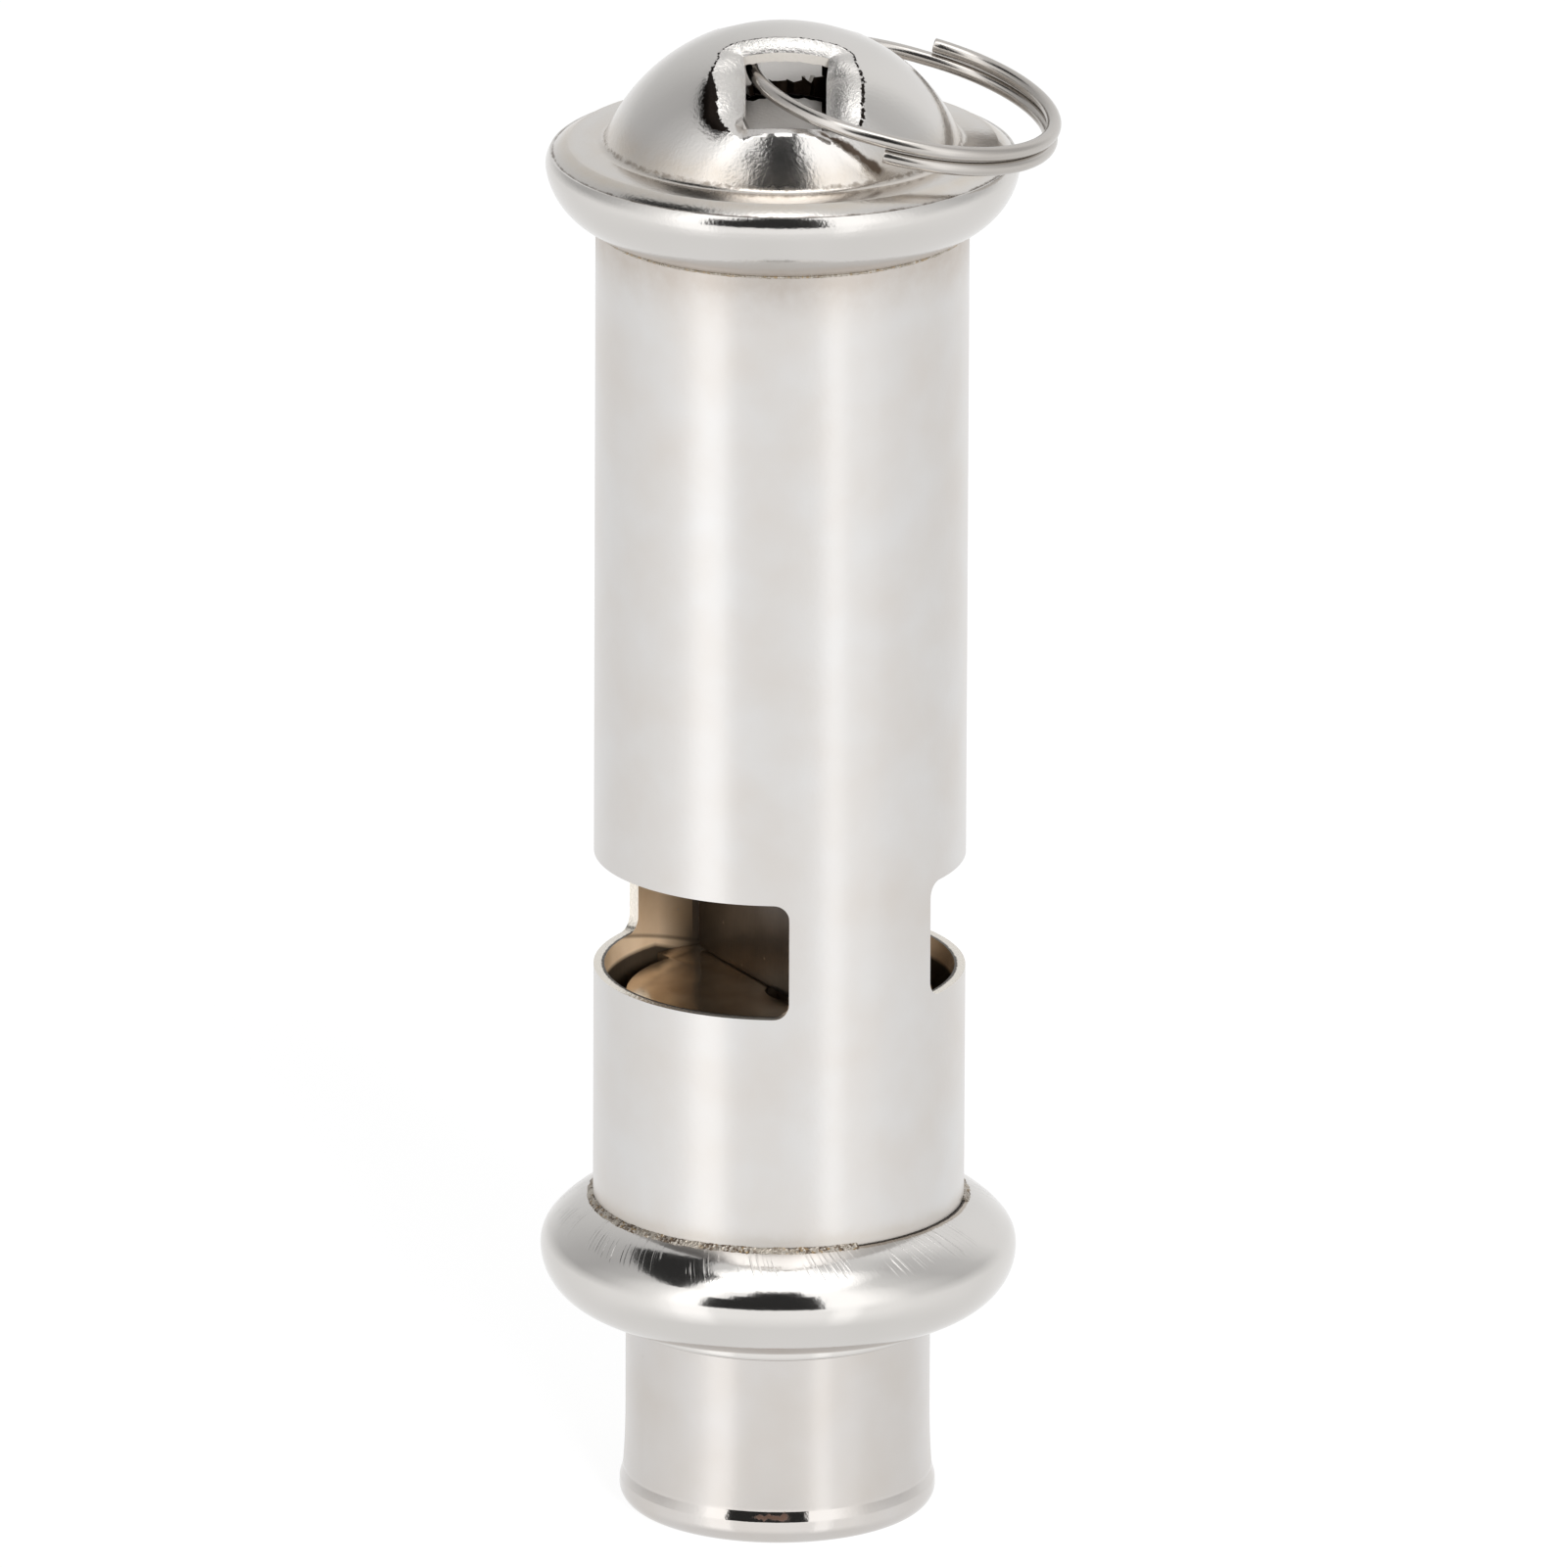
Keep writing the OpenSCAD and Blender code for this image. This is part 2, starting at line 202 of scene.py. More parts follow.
def cut(bm: BMesh, place: Sequence[float], normal: Sequence[float], above: float = -1.0) -> None:
    """Cuts the faces along a plane and keeps both sides.

    Args:
        bm: The mesh.
        place: A point on the plane.
        normal: The plane's direction.
        above: Height above which faces are cut.
    """
    faces = [f for f in bm.faces if f.calc_center_median().z > above]
    # Dictionaries keep the order of the faces, where a set's order would differ from run to run
    edges = dict.fromkeys(e for f in faces for e in f.edges)
    verts = dict.fromkeys(v for f in faces for v in f.verts)
    bmesh.ops.bisect_plane(bm, geom=[*verts, *edges, *faces], dist=1e-6, plane_co=place, plane_no=normal)


def extruded(bm: BMesh, edges: Sequence[BMEdge]) -> tuple[list[BMVert], list[BMEdge]]:
    """Draws edges out to new faces.

    Args:
        bm: The mesh.
        edges: The edges.

    Returns:
        The new corners, which still lie on the old ones, and the new edges between them.
    """
    made = bmesh.ops.extrude_edge_only(bm, edges=edges)["geom"]
    verts = [g for g in made if isinstance(g, BMVert)]
    new = set(verts)
    return verts, [g for g in made if isinstance(g, BMEdge) and new.issuperset(g.verts)]


def dress(verts: Sequence[BMVert], finish: int) -> None:
    """Gives the faces that meet at these corners the finish with this number."""
    for face in {f for v in verts for f in v.link_faces}:
        face.material_index = finish


def bevelled(bm: BMesh, edges: Sequence[BMEdge], width: float, segments: int = 2) -> list[BMFace]:
    """Breaks edges, and gives back the faces that this makes."""
    made = bmesh.ops.bevel(bm, geom=edges, affect="EDGES", offset=width, offset_type="OFFSET",
                           segments=segments, profile=0.5, material=-1, clamp_overlap=True)
    return made["faces"]


def make_lumpy(bm: BMesh, radius: float, height: float, lumps: Point, swell: float) -> None:
    """Makes a bead of solder lumpy.

    Args:
        bm: The bead.
        radius: Radius of the line that it swells from.
        height: Height of that line.
        lumps: Number of large and of small lumps to a millimetre.
        swell: Largest share by which it swells or shrinks.
    """
    for vert in bm.verts:
        lump = sum(noise.noise(vert.co * each) * 0.5 for each in lumps)
        core = outward(vert.co) * radius + Vector((0, 0, height))
        vert.co = core + (vert.co - core) * (1.0 + swell * lump)


def linked(name: str, data: ID) -> Object:
    """Puts an object with this data in the scene."""
    thing = bpy.data.objects.new(name, data)
    bpy.context.scene.collection.objects.link(thing)
    return thing


def walled(bm: BMesh, thickness: float) -> BMesh:
    """Gives an open sheet its wall on the inside, by a Solidify modifier.

    Args:
        bm: The sheet in millimetres, which is used up.
        thickness: Thickness of the wall.

    Returns:
        The mesh with its wall, whose edges take the next finish after that of their faces.
    """
    mesh = bpy.data.meshes.new("sheet")
    for _ in range(4):
        mesh.materials.append(None)
    bm.to_mesh(mesh)
    bm.free()
    sheet = linked("sheet", mesh)
    wall = sheet.modifiers.new("wall", "SOLIDIFY")
    wall.thickness = thickness
    wall.offset = -1.0
    wall.use_even_offset = False
    wall.use_quality_normals = True
    wall.material_offset_rim = 1
    done = bpy.data.meshes.new_from_object(sheet.evaluated_get(bpy.context.evaluated_depsgraph_get()))
    out = bmesh.new()
    out.from_mesh(done)
    bpy.data.objects.remove(sheet)
    bpy.data.meshes.remove(mesh)
    bpy.data.meshes.remove(done)
    return out


def make_piece(bm: BMesh, name: str, slot: Slot, node: str, *materials: Material,
               body: Body = Body.WHISTLE, sharp: float = 32.0) -> Object:
    """Turns a mesh in millimetres into a finished piece of the whistle.

    Args:
        bm: The mesh, which is used up.
        name: Name of the piece.
        slot: Material slot of the record for the piece; not used.
        node: CAD node that it stands for.
        materials: Materials in the order of its faces' numbers.
        body: Body that it rides on.
        sharp: Angle between two faces from which their edge is a sharp one, in degrees.

    Returns:
        The piece.
    """
    bmesh.ops.scale(bm, vec=(MM, MM, MM), verts=bm.verts)
    mesh = bpy.data.meshes.new(name)
    bm.to_mesh(mesh)
    bm.free()
    mesh.shade_smooth()
    mesh.set_sharp_from_angle(angle=math.radians(sharp))
    for material in materials:
        mesh.materials.append(material)
    piece = linked(name, mesh)
    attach(piece, body.value)
    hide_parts(node)
    log.info("%s: %d faces", name, len(mesh.polygons))
    return piece


# Materials


def linear(hex_colour: str) -> tuple[float, float, float, float]:
    """Turns an sRGB hex colour to a linear one."""
    values = [int(hex_colour[i:i + 2], 16) / 255.0 for i in (1, 3, 5)]
    r, g, b = (v / 12.92 if v <= 0.04045 else ((v + 0.055) / 1.055) ** 2.4 for v in values)
    return (r, g, b, 1.0)


def per_mm(size: float) -> float:
    """Scale of a pattern whose features are this many millimetres wide."""
    return 1.0 / (size * MM)


def add(tree: NodeTree, kind: str, links: dict[int | str, Given] | None = None,
        **settings: object) -> Node:
    """Adds a node to a tree.

    Args:
        tree: The node tree.
        kind: Type of the node.
        links: What its inputs take, by name or number: a value, a socket, or a node, whose first
            output in use is linked.
        settings: Its other settings.

    Returns:
        The node.
    """
    node = tree.nodes.new(kind)
    for key, value in settings.items():
        setattr(node, key, value)
    for key, value in (links or {}).items():
        if isinstance(value, Node):
            value = next(out for out in value.outputs if out.enabled)
        if isinstance(value, NodeSocket):
            tree.links.new(value, node.inputs[key])
        else:
            node.inputs[key].default_value = value
    return node


def emptied(owner: Material | World) -> NodeTree:
    """Gives a material or a world an empty node tree."""
    owner.use_nodes = True
    owner.node_tree.nodes.clear()
    return owner.node_tree


class Coat:
    """A material in the making: its node tree, the place on the piece, and what it looks like so far."""

    def __init__(self, name: str, colour: str, rough: float = 0.5) -> None:
        """Starts a material of one colour and roughness."""
        self.material = bpy.data.materials.new(name)
        self.tree = emptied(self.material)
        self.where = add(self.tree, "ShaderNodeTexCoord").outputs["Object"]
        self.x, self.y, self.height = add(self.tree, "ShaderNodeSeparateXYZ", {0: self.where}).outputs
        self.colour: Given = linear(colour)
        self.rough: Given = rough
        self.bump: Given = 0.0

    def paint(self, share: Given, colour: str, rougher: float = 0.0) -> None:
        """Lays a colour over the material.

        Args:
            share: Where the colour lies, from 0 to 1.
            colour: The colour.
            rougher: What is added to the roughness where it lies.
        """
        self.colour = add(self.tree, MIX, {0: share, 6: self.colour, 7: linear(colour)}, data_type="RGBA")
        if rougher:
            self.rough = add(self.tree, MATH, {0: share, 1: rougher, 2: self.rough}, operation="MULTIPLY_ADD")

    def finished(self, metal: float, more: dict[str, Given] | None = None) -> Material:
        """Adds the shader.

        Args:
            metal: Share of the surface that is bare metal.
            more: Other inputs of the shader.

        Returns:
            The material.
        """
        shader = add(self.tree, "ShaderNodeBsdfPrincipled",
                     {"Base Color": self.colour, "Metallic": metal, "Roughness": self.rough,
                      "Normal": self.bump, **(more or {})})
        add(self.tree, "ShaderNodeOutputMaterial", {0: shader})
        return self.material


@dataclass(frozen=True)
class StainAndShade:
    """A ring of stain on a turned piece, at a radius and height in millimetres; some rings are painted shade.
    """

    radius: float
    height: float
    width: float
    colour: str = "#3A2A1C"
    strength: float = 0.9
    grain: float = 0.5
    soft: float = 0.2
    cover: float = 0.6
    middle: float = 0.65

    def over(self, coat: Coat) -> Node:
        """Share of a material that the ring covers, from 0 to its strength."""
        tree, soft = coat.tree, self.soft / 2
        flat = add(tree, VECTOR, {0: coat.where, 1: (1.0, 1.0, 0.0)}, operation="MULTIPLY")
        radius = add(tree, VECTOR, {0: flat}, operation="LENGTH")
        across = add(tree, MATH, {0: radius, 1: self.radius * MM}, operation="SUBTRACT")
        along = add(tree, MATH, {0: coat.height, 1: self.height * MM}, operation="SUBTRACT")
        off = add(tree, "ShaderNodeCombineXYZ", {0: across, 1: along})
        far = add(tree, VECTOR, {0: off}, operation="LENGTH")
        near = add(tree, RANGE, {0: far, 1: 0.0, 2: self.width * MM, 3: self.cover, 4: 0.0})
        ragged = add(tree, NOISE, {"Vector": coat.where, "Scale": per_mm(self.grain), "Detail": 5.0,
                                   "Roughness": 0.7})
        both = add(tree, MATH, {0: near, 1: ragged}, operation="ADD")
        share = add(tree, RANGE, {0: both, 1: self.middle - soft, 2: self.middle + soft, 3: 0.0,
                                  4: self.strength})
        inside = add(tree, RANGE, {0: near, 1: 0.0, 2: self.cover * (0.15 + self.soft)})
        return add(tree, MATH, {0: share, 1: inside}, operation="MULTIPLY")


@dataclass(frozen=True)
class Crease:
    """A brown pressed crease on a round piece, from one point to another in millimetres."""

    start: tuple[float, float, float]
    end: tuple[float, float, float]
    centre: tuple[float, float, float]
    width: float
    colour: str
    sway: float = 0.12

    def over(self, coat: Coat) -> Node:
        """Share of a material that the crease covers, 1 in its middle."""
        tree, width, sway = coat.tree, self.width * MM, self.sway * MM
        start, end, centre = (Vector(p) * MM for p in (self.start, self.end, self.centre))
        normal = (start - centre).cross(end - centre).normalized()
        way = end - start
        away = add(tree, VECTOR, {0: coat.where, 1: tuple(start)}, operation="SUBTRACT")
        run = add(tree, VECTOR, {0: away, 1: tuple(way.normalized())}, operation="DOT_PRODUCT")
        side = add(tree, VECTOR, {0: away, 1: tuple(normal)}, operation="DOT_PRODUCT")
        ragged = add(tree, NOISE, {"Vector": coat.where, "Scale": per_mm(0.5), "Detail": 4.0})
        bent = add(tree, RANGE, {0: ragged, 1: 0.3, 2: 0.7, 3: -sway, 4: sway})
        side = add(tree, MATH, {0: side, 1: bent}, operation="ADD")
        far = add(tree, MATH, {0: side}, operation="ABSOLUTE")
        wide = add(tree, RANGE, {0: run, 1: 0.0, 2: way.length, 3: 0.35 * width, 4: width})
        far = add(tree, MATH, {0: far, 1: wide}, operation="DIVIDE")
        share = add(tree, RANGE, {0: far, 1: 0.3, 2: 1.0, 3: 0.9, 4: 0.0}, interpolation_type="SMOOTHSTEP")
        begun = add(tree, RANGE, {0: run, 1: 0.0, 2: 0.4 * MM})
        over = add(tree, RANGE, {0: run, 1: way.length - 0.3 * MM, 2: way.length, 3: 1.0, 4: 0.0})
        # Not on the far side of the piece
        out = add(tree, VECTOR, {0: coat.where, 1: tuple(centre)}, operation="SUBTRACT")
        out = add(tree, VECTOR, {0: out, 1: tuple(start + end - 2 * centre)}, operation="DOT_PRODUCT")
        here = add(tree, MATH, {0: out, 1: 0.0}, operation="GREATER_THAN")
        for limit in (begun, over, here):
            share = add(tree, MATH, {0: share, 1: limit}, operation="MULTIPLY")
        return share


@dataclass(frozen=True)
class Plated:
    """Nickel plate over brass: a warm silver metal, turned satin or buffed bright.

    The plate is thin, so the lathe's fine rings, buffing marks and pits in the brass show
    through it, and flux and dirt stay brown in the corners. Some corners and the barrel under the
    cap take painted shade too. Sizes and depths are in millimetres.
    """

    name: str
    colour: str
    roughness: float
    shade: str = ""
    mottle: str = ""
    anisotropy: float = 0.0
    mark_depth: float = 0.15
    wave: float = 0.0
    pit_strength: float = 0.0
    metal: float = 1.0
    pebble: float = 0.0
    pebble_size: float = 0.25
    buffed_below: float = 0.0
    scratched_above: float = 0.0
    pressed: bool = False
    creases: tuple[Crease, ...] = ()
    stains_and_shade: tuple[StainAndShade, ...] = ()

    def build(self) -> Material:
        """Builds the material."""
        coat = Coat(self.name, self.colour, self.roughness)
        tree = coat.tree
        self.shades(coat)
        if self.buffed_below:
            # The lip is buffed brighter than the tube
            low, high = ((self.buffed_below + off) * MM for off in (-0.1, 0.1))
            above = add(tree, RANGE, {0: coat.height, 1: low, 2: high, 3: 0.3, 4: 1.0})
            coat.rough = add(tree, MATH, {0: coat.rough, 1: above}, operation="MULTIPLY")
        marks = self.marks(coat)
        # Rings of stain; some of them are painted shade, under the cap's bowl and under the collar
        for stain_and_shade in self.stains_and_shade:
            coat.paint(stain_and_shade.over(coat), stain_and_shade.colour, rougher=0.25)
        for crease in self.creases:
            coat.paint(crease.over(coat), crease.colour, rougher=0.3)
        coat.bump = add(tree, BUMP, {"Height": marks, "Distance": 0.008 * MM, "Strength": 0.5})
        if self.pressed:
            self.border(coat)
        if self.scratched_above:
            self.scratches(coat)
        # Fine pebbling of the sheet, which makes reflections ragged, and slow waves of 4 mm from spinning it
        for depth, size, detail in ((self.pebble, self.pebble_size, 2.0), (self.wave, 4.0, 1.0)):
            if depth:
                relief = add(tree, NOISE, {"Vector": coat.where, "Scale": per_mm(size), "Detail": detail})
                coat.bump = add(tree, BUMP, {"Height": relief, "Distance": depth * MM, "Normal": coat.bump})
        if not self.anisotropy:
            return coat.finished(self.metal)
        around = add(tree, "ShaderNodeTangent", direction_type="RADIAL", axis="Z")
        return coat.finished(self.metal, {"Tangent": around, "Anisotropic": self.anisotropy,
                                          "Anisotropic Rotation": 0.25})

    def shades(self, coat: Coat) -> None:
        """Lets other shades of the plate come and go."""
        if self.shade:
            # Clouds of about 5 mm from uneven buffing
            cloud = add(coat.tree, NOISE, {"Vector": coat.where, "Scale": per_mm(5.0), "Detail": 1.0})
            coat.paint(add(coat.tree, RANGE, {0: cloud, 1: 0.1, 2: 0.9}), self.shade)
            low, high = self.roughness * 0.9, self.roughness * 1.1
            coat.rough = add(coat.tree, RANGE, {0: cloud, 1: 0.1, 2: 0.9, 3: low, 4: high})
        if self.mottle:
            # Faint warm patches of about 4 mm
            patch = add(coat.tree, NOISE, {"Vector": coat.where, "Scale": per_mm(4.0), "Detail": 3.0})
            coat.paint(add(coat.tree, RANGE, {0: patch, 1: 0.2, 2: 0.8}), self.mottle)

    def marks(self, coat: Coat) -> Node:
        """Relief of the lathe's rings and of pits in the plate, which are painted too."""
        tree = coat.tree
        # Real rings are about 0.05 mm apart, and these 0.4 mm, so that they show
        squeezed = add(tree, "ShaderNodeMapping", {0: coat.where, 3: (0.03, 0.03, 1.0)})
        rings = add(tree, NOISE, {"Vector": squeezed, "Scale": per_mm(0.4), "Detail": 1.0})
        rings = add(tree, MATH, {0: rings, 1: self.mark_depth}, operation="MULTIPLY")
        if not self.pit_strength:
            return rings
        # Pits of about 0.15 mm, one or two on each square centimetre
        spots = add(tree, CELLS, {"Vector": coat.where, "Scale": per_mm(2.5)})
        dot = add(tree, RANGE, {0: spots.outputs["Distance"], 1: 0.02, 2: 0.05, 3: 1.0, 4: 0.0})
        drawn = add(tree, SPLIT, {0: spots.outputs["Color"]})
        few = add(tree, RANGE, {0: drawn, 1: 0.85, 2: 0.9, 3: 0.0, 4: self.pit_strength})
        pits = add(tree, MATH, {0: dot, 1: few}, operation="MULTIPLY")
        coat.paint(pits, "#A89F92")
        return add(tree, MATH, {0: rings, 1: pits}, operation="SUBTRACT")

    @staticmethod
    def border(coat: Coat) -> None:
        """Makes the rolled border of the openings rougher, and torn dark along its outer line."""
        tree = coat.tree
        border, crest = (add(tree, "ShaderNodeAttribute", attribute_name=name).outputs["Fac"]
                         for name in ("border", "crest"))
        coat.rough = add(tree, MATH, {0: border, 1: 0.1, 2: coat.rough}, operation="MULTIPLY_ADD")
        # Tears of 0.2 mm
        torn = add(tree, NOISE, {"Vector": coat.where, "Scale": per_mm(0.2), "Detail": 3.0,
                                 "Roughness": 0.75})
        torn = add(tree, MATH, {0: crest, 1: 0.6, 2: torn}, operation="MULTIPLY_ADD")
        coat.paint(add(tree, RANGE, {0: torn, 1: 0.9, 2: 0.96}), "#1E1916", rougher=0.2)
        coat.bump = add(tree, BUMP, {"Height": torn, "Distance": 0.035 * MM, "Strength": border,
                                     "Normal": coat.bump})

    def scratches(self, coat: Coat) -> None:
        """Draws file marks down the shoulder, about 0.2 mm apart, where the joint was cleaned of solder."""
        tree = coat.tree
        angle = add(tree, MATH, {0: coat.y, 1: coat.x}, operation="ARCTAN2")
        lean = add(tree, MATH, {0: coat.height, 1: 0.6 / MM}, operation="MULTIPLY")
        turn = add(tree, MATH, {0: angle, 1: 11.0, 2: lean}, operation="MULTIPLY_ADD")
        marks = add(tree, NOISE, {"W": turn, "Scale": 5.0, "Detail": 3.0}, noise_dimensions="1D")
        marks = add(tree, RANGE, {0: marks, 1: 0.56, 2: 0.7})
        patch = add(tree, NOISE, {"Vector": coat.where, "Scale": per_mm(3.0), "Detail": 3.0})
        patch = add(tree, RANGE, {0: patch, 1: 0.45, 2: 0.6})
        low, high = self.scratched_above * MM, (self.scratched_above + 0.4) * MM
        there = add(tree, RANGE, {0: coat.height, 1: low, 2: high})
        there = add(tree, MATH, {0: there, 1: patch}, operation="MULTIPLY")
        marks = add(tree, MATH, {0: marks, 1: there}, operation="MULTIPLY")
        coat.bump = add(tree, BUMP, {"Height": marks, "Distance": 0.012 * MM, "Normal": coat.bump})
        coat.rough = add(tree, MATH, {0: marks, 1: 0.15, 2: coat.rough}, operation="MULTIPLY_ADD")


@dataclass(frozen=True)
class Grit:
    """Soft solder run into a joint: dull grey-brown, granular, with bright and golden grains."""

    name: str
    dark: str = "#6E6053"
    light: str = "#BDB6AC"
    gold: str = "#A08A6C"
    film: str = "#BDB5A9"

    def build(self) -> Material:
        """Builds the material."""
        coat = Coat(self.name, self.dark)
        tree = coat.tree
        # Grains of 0.13 mm under a film that lies in patches of about 1.2 mm
        grains = add(tree, CELLS, {"Vector": coat.where, "Scale": per_mm(0.13)})
        patch = add(tree, NOISE, {"Vector": coat.where, "Scale": per_mm(1.2), "Detail": 5.0})
        first, second, third = add(tree, SPLIT, {0: grains.outputs["Color"]}).outputs
        for value, low, high, colour in ((first, 0.35, 0.6, self.light), (second, 0.8, 0.86, self.gold),
                                         (patch, 0.5, 0.62, self.film)):
            coat.paint(add(tree, RANGE, {0: value, 1: low, 2: high}), colour)
        coat.rough = add(tree, RANGE, {0: third, 3: 0.25, 4: 0.55})
        coat.bump = add(tree, BUMP, {"Height": grains, "Distance": 0.04 * MM})
        return coat.finished(metal=0.85)


@dataclass(frozen=True)
class BareBrass:
    """Unplated brass inside the tube: dull gold under a matt brown film, drawn up the tube."""

    name: str
    colour: str
    tarnish: str
    roughness: float
    metal: float
    plug_top: float = 0.0

    def build(self) -> Material:
        """Builds the material."""
        coat = Coat(self.name, self.colour)
        tree = coat.tree
        # Drawing lines of 0.15 mm, eight times as long up the tube
        drawn = add(tree, "ShaderNodeMapping", {0: coat.where, 3: (1.0, 1.0, 0.12)})
        lines = add(tree, NOISE, {"Vector": drawn, "Scale": per_mm(0.15), "Detail": 3.0})
        patch = add(tree, NOISE, {"Vector": coat.where, "Scale": per_mm(3.0), "Detail": 4.0})
        coat.paint(add(tree, RANGE, {0: patch, 1: 0.35, 2: 0.7}), self.tarnish)
        # Grey dust specks of 0.1 mm
        dust = add(tree, CELLS, {"Vector": coat.where, "Scale": per_mm(1.3)}).outputs["Distance"]
        coat.paint(add(tree, RANGE, {0: dust, 1: 0.03, 2: 0.07, 3: 0.5, 4: 0.0}), "#C9C2B8")
        if self.plug_top:
            self.wall_shade_and_line(coat)
        low, high = self.roughness * 0.9, self.roughness * 1.15
        coat.rough = add(tree, RANGE, {0: lines, 1: 0.3, 2: 0.7, 3: low, 4: high})
        coat.bump = add(tree, BUMP, {"Height": lines, "Distance": 0.003 * MM})
        return coat.finished(self.metal)

    def wall_shade_and_line(self, coat: Coat) -> None:
        """Paints shade on the tube's wall in the gap beside the plug and beside the plate, and a thin dark
        line across it.
        """
        tree, painted_shade = coat.tree, "#2A231C"
        low, line_low, soft_low, soft_high = ((self.plug_top + up) * MM for up in (-0.25, 0.15, 0.3, 1.9))
        aside = add(tree, MATH, {0: coat.y}, operation="ABSOLUTE")
        # Painted shade on the wall in the gap beside the plug, below the plug's top
        rise = add(tree, RANGE, {0: aside, 1: 1.0 * MM, 2: 2.6 * MM, 3: 0.0, 4: 0.55 * MM})
        off = add(tree, MATH, {0: coat.height, 1: rise}, operation="SUBTRACT")
        coat.paint(add(tree, RANGE, {0: off, 1: low, 2: self.plug_top * MM, 3: 0.95, 4: 0.0}), painted_shade)
        # A thin dark line that falls toward the plate, with browner brass above it
        off = add(tree, MATH, {0: aside, 1: -0.277, 2: coat.height}, operation="MULTIPLY_ADD")
        off = add(tree, MATH, {0: off, 1: line_low}, operation="SUBTRACT")
        coat.paint(add(tree, RANGE, {0: off, 1: -0.1 * MM, 2: 0.1 * MM, 3: 0.0, 4: 0.25}), "#8A6A4C")
        off = add(tree, MATH, {0: off}, operation="ABSOLUTE")
        coat.paint(add(tree, RANGE, {0: off, 1: 0.03 * MM, 2: 0.16 * MM, 3: 0.6, 4: 0.0}), "#4A3626")
        # Painted shade on the wall beside the plate, which fades out wider toward the plug, darkest in a line
        # at the plate's edge
        strength = add(tree, RANGE, {0: coat.height, 1: soft_low, 2: soft_high, 3: 0.92, 4: 0.7})
        near = add(tree, RANGE, {0: aside, 1: 0.3 * MM, 2: 2.4 * MM, 3: 1.0, 4: 0.0})
        soft = add(tree, MATH, {0: strength, 1: near}, operation="MULTIPLY")
        line = add(tree, RANGE, {0: aside, 1: 0.22 * MM, 2: 0.36 * MM, 3: 0.95, 4: 0.0})
        coat.paint(add(tree, MATH, {0: soft, 1: line}, operation="MAXIMUM"), painted_shade)


# Sub-assemblies


@dataclass
class Barrel:
    """The barrel, a rolled sheet with a window on each side."""

    radius: float = 9.5
    wall: float = 0.55
    seat_z: float = 11.52
    top_z: float = 71.6
    window_low: float = 28.8
    window_high: float = 34.9
    window_angle: float = 129.0
    corner: float = 0.8
    step: float = 1.5
    edge: float = 0.21

    @staticmethod
    def oblong(bm: BMesh, left: float, right: float, low: float, high: float) -> list[BMVert]:
        """Corners of an oblong in the sheet."""
        places = ((left, low), (right, low), (right, high), (left, high))
        return [bm.verts.new((x, z, 0.0)) for x, z in places]

    def sheet(self) -> BMesh:
        """Flat sheet with two windows, as long as the barrel's outside is round."""
        bm = bmesh.new()
        length = 2 * math.pi * self.radius
        half = math.radians(self.window_angle) / 2 * self.radius
        for centre in (0.25 * length, 0.75 * length):
            corners = self.oblong(bm, centre - half, centre + half, self.window_low, self.window_high)
            bm.faces.new(corners)
            bmesh.ops.bevel(bm, geom=corners, affect="VERTICES", offset=self.corner, segments=8, profile=0.5,
                            material=-1)
        rounded = bm.edges[:]
        bmesh.ops.delete(bm, geom=bm.faces[:], context="FACES_ONLY")
        outer = self.oblong(bm, 0.0, length, self.seat_z, self.top_z)
        border = [bm.edges.new((a, b)) for a, b in zip(outer, outer[1:] + outer[:1])]
        bmesh.ops.triangle_fill(bm, edges=rounded + border, use_beauty=True, use_dissolve=False)
        return bm

    def build(self, *finishes: Material) -> None:
        """Rolls the sheet, gives it its wall and breaks its cut edges.

        Args:
            finishes: Finishes of its skin, its inside and the burrs of its windows, which are painted near
                white as a highlight.
        """
        bm = self.sheet()
        for i in range(1, round(360 / self.step)):
            cut(bm, (2 * math.pi * self.radius * i * self.step / 360, 0, 0), (1, 0, 0))
        for vert in bm.verts:
            a = vert.co.x / self.radius
            vert.co = Vector((self.radius * math.cos(a), self.radius * math.sin(a), vert.co.y))
        bmesh.ops.remove_doubles(bm, verts=bm.verts, dist=1e-4)
        bmesh.ops.dissolve_limit(bm, angle_limit=math.radians(0.4), use_dissolve_boundaries=False,
                                 verts=bm.verts, edges=bm.edges, delimit=set())
        bmesh.ops.recalc_face_normals(bm, faces=bm.faces)
        if sum(f.normal.dot(outward(f.calc_center_median())) for f in bm.faces) < 0:
            bmesh.ops.reverse_faces(bm, faces=bm.faces)
        bmesh.ops.solidify(bm, geom=bm.faces[:], thickness=self.wall)
        sharp = [e for e in bm.edges if len(e.link_faces) == 2 and e.calc_face_angle(0.0) > math.radians(50)]
        bevelled(bm, sharp, self.edge)
        # The windows' cut edges are burred and painted near white as a highlight, and the inside is bare
        # brass
        for face in bm.faces:
            c = face.calc_center_median()
            turned_in = abs(face.normal.dot(outward(c))) < 0.99
            if turned_in and self.window_low - 0.5 < c.z < self.window_high + 0.5:
                face.material_index = 2
            elif math.hypot(c.x, c.y) < self.radius - 0.8 * self.wall and abs(face.normal.z) < 0.3:
                face.material_index = 1
        self.smooth_round(make_piece(bm, "barrel_tube", Slot.SATIN, "barrel", *finishes, sharp=20.0).data)

    @staticmethod
    def smooth_round(mesh: Mesh) -> None:
        """Gives the round faces the normals of a true tube, up to the edges of the windows."""
        normals: list[tuple[float, float, float]] = []
        for poly in mesh.polygons:
            out = outward(poly.center).dot(poly.normal)
            for i in poly.loop_indices:
                turned = outward(mesh.vertices[mesh.loops[i].vertex_index].co) * math.copysign(1.0, out)
                normals.append(tuple(turned) if abs(out) > 0.99 else (0.0, 0.0, 0.0))
        mesh.normals_split_custom_set(normals)


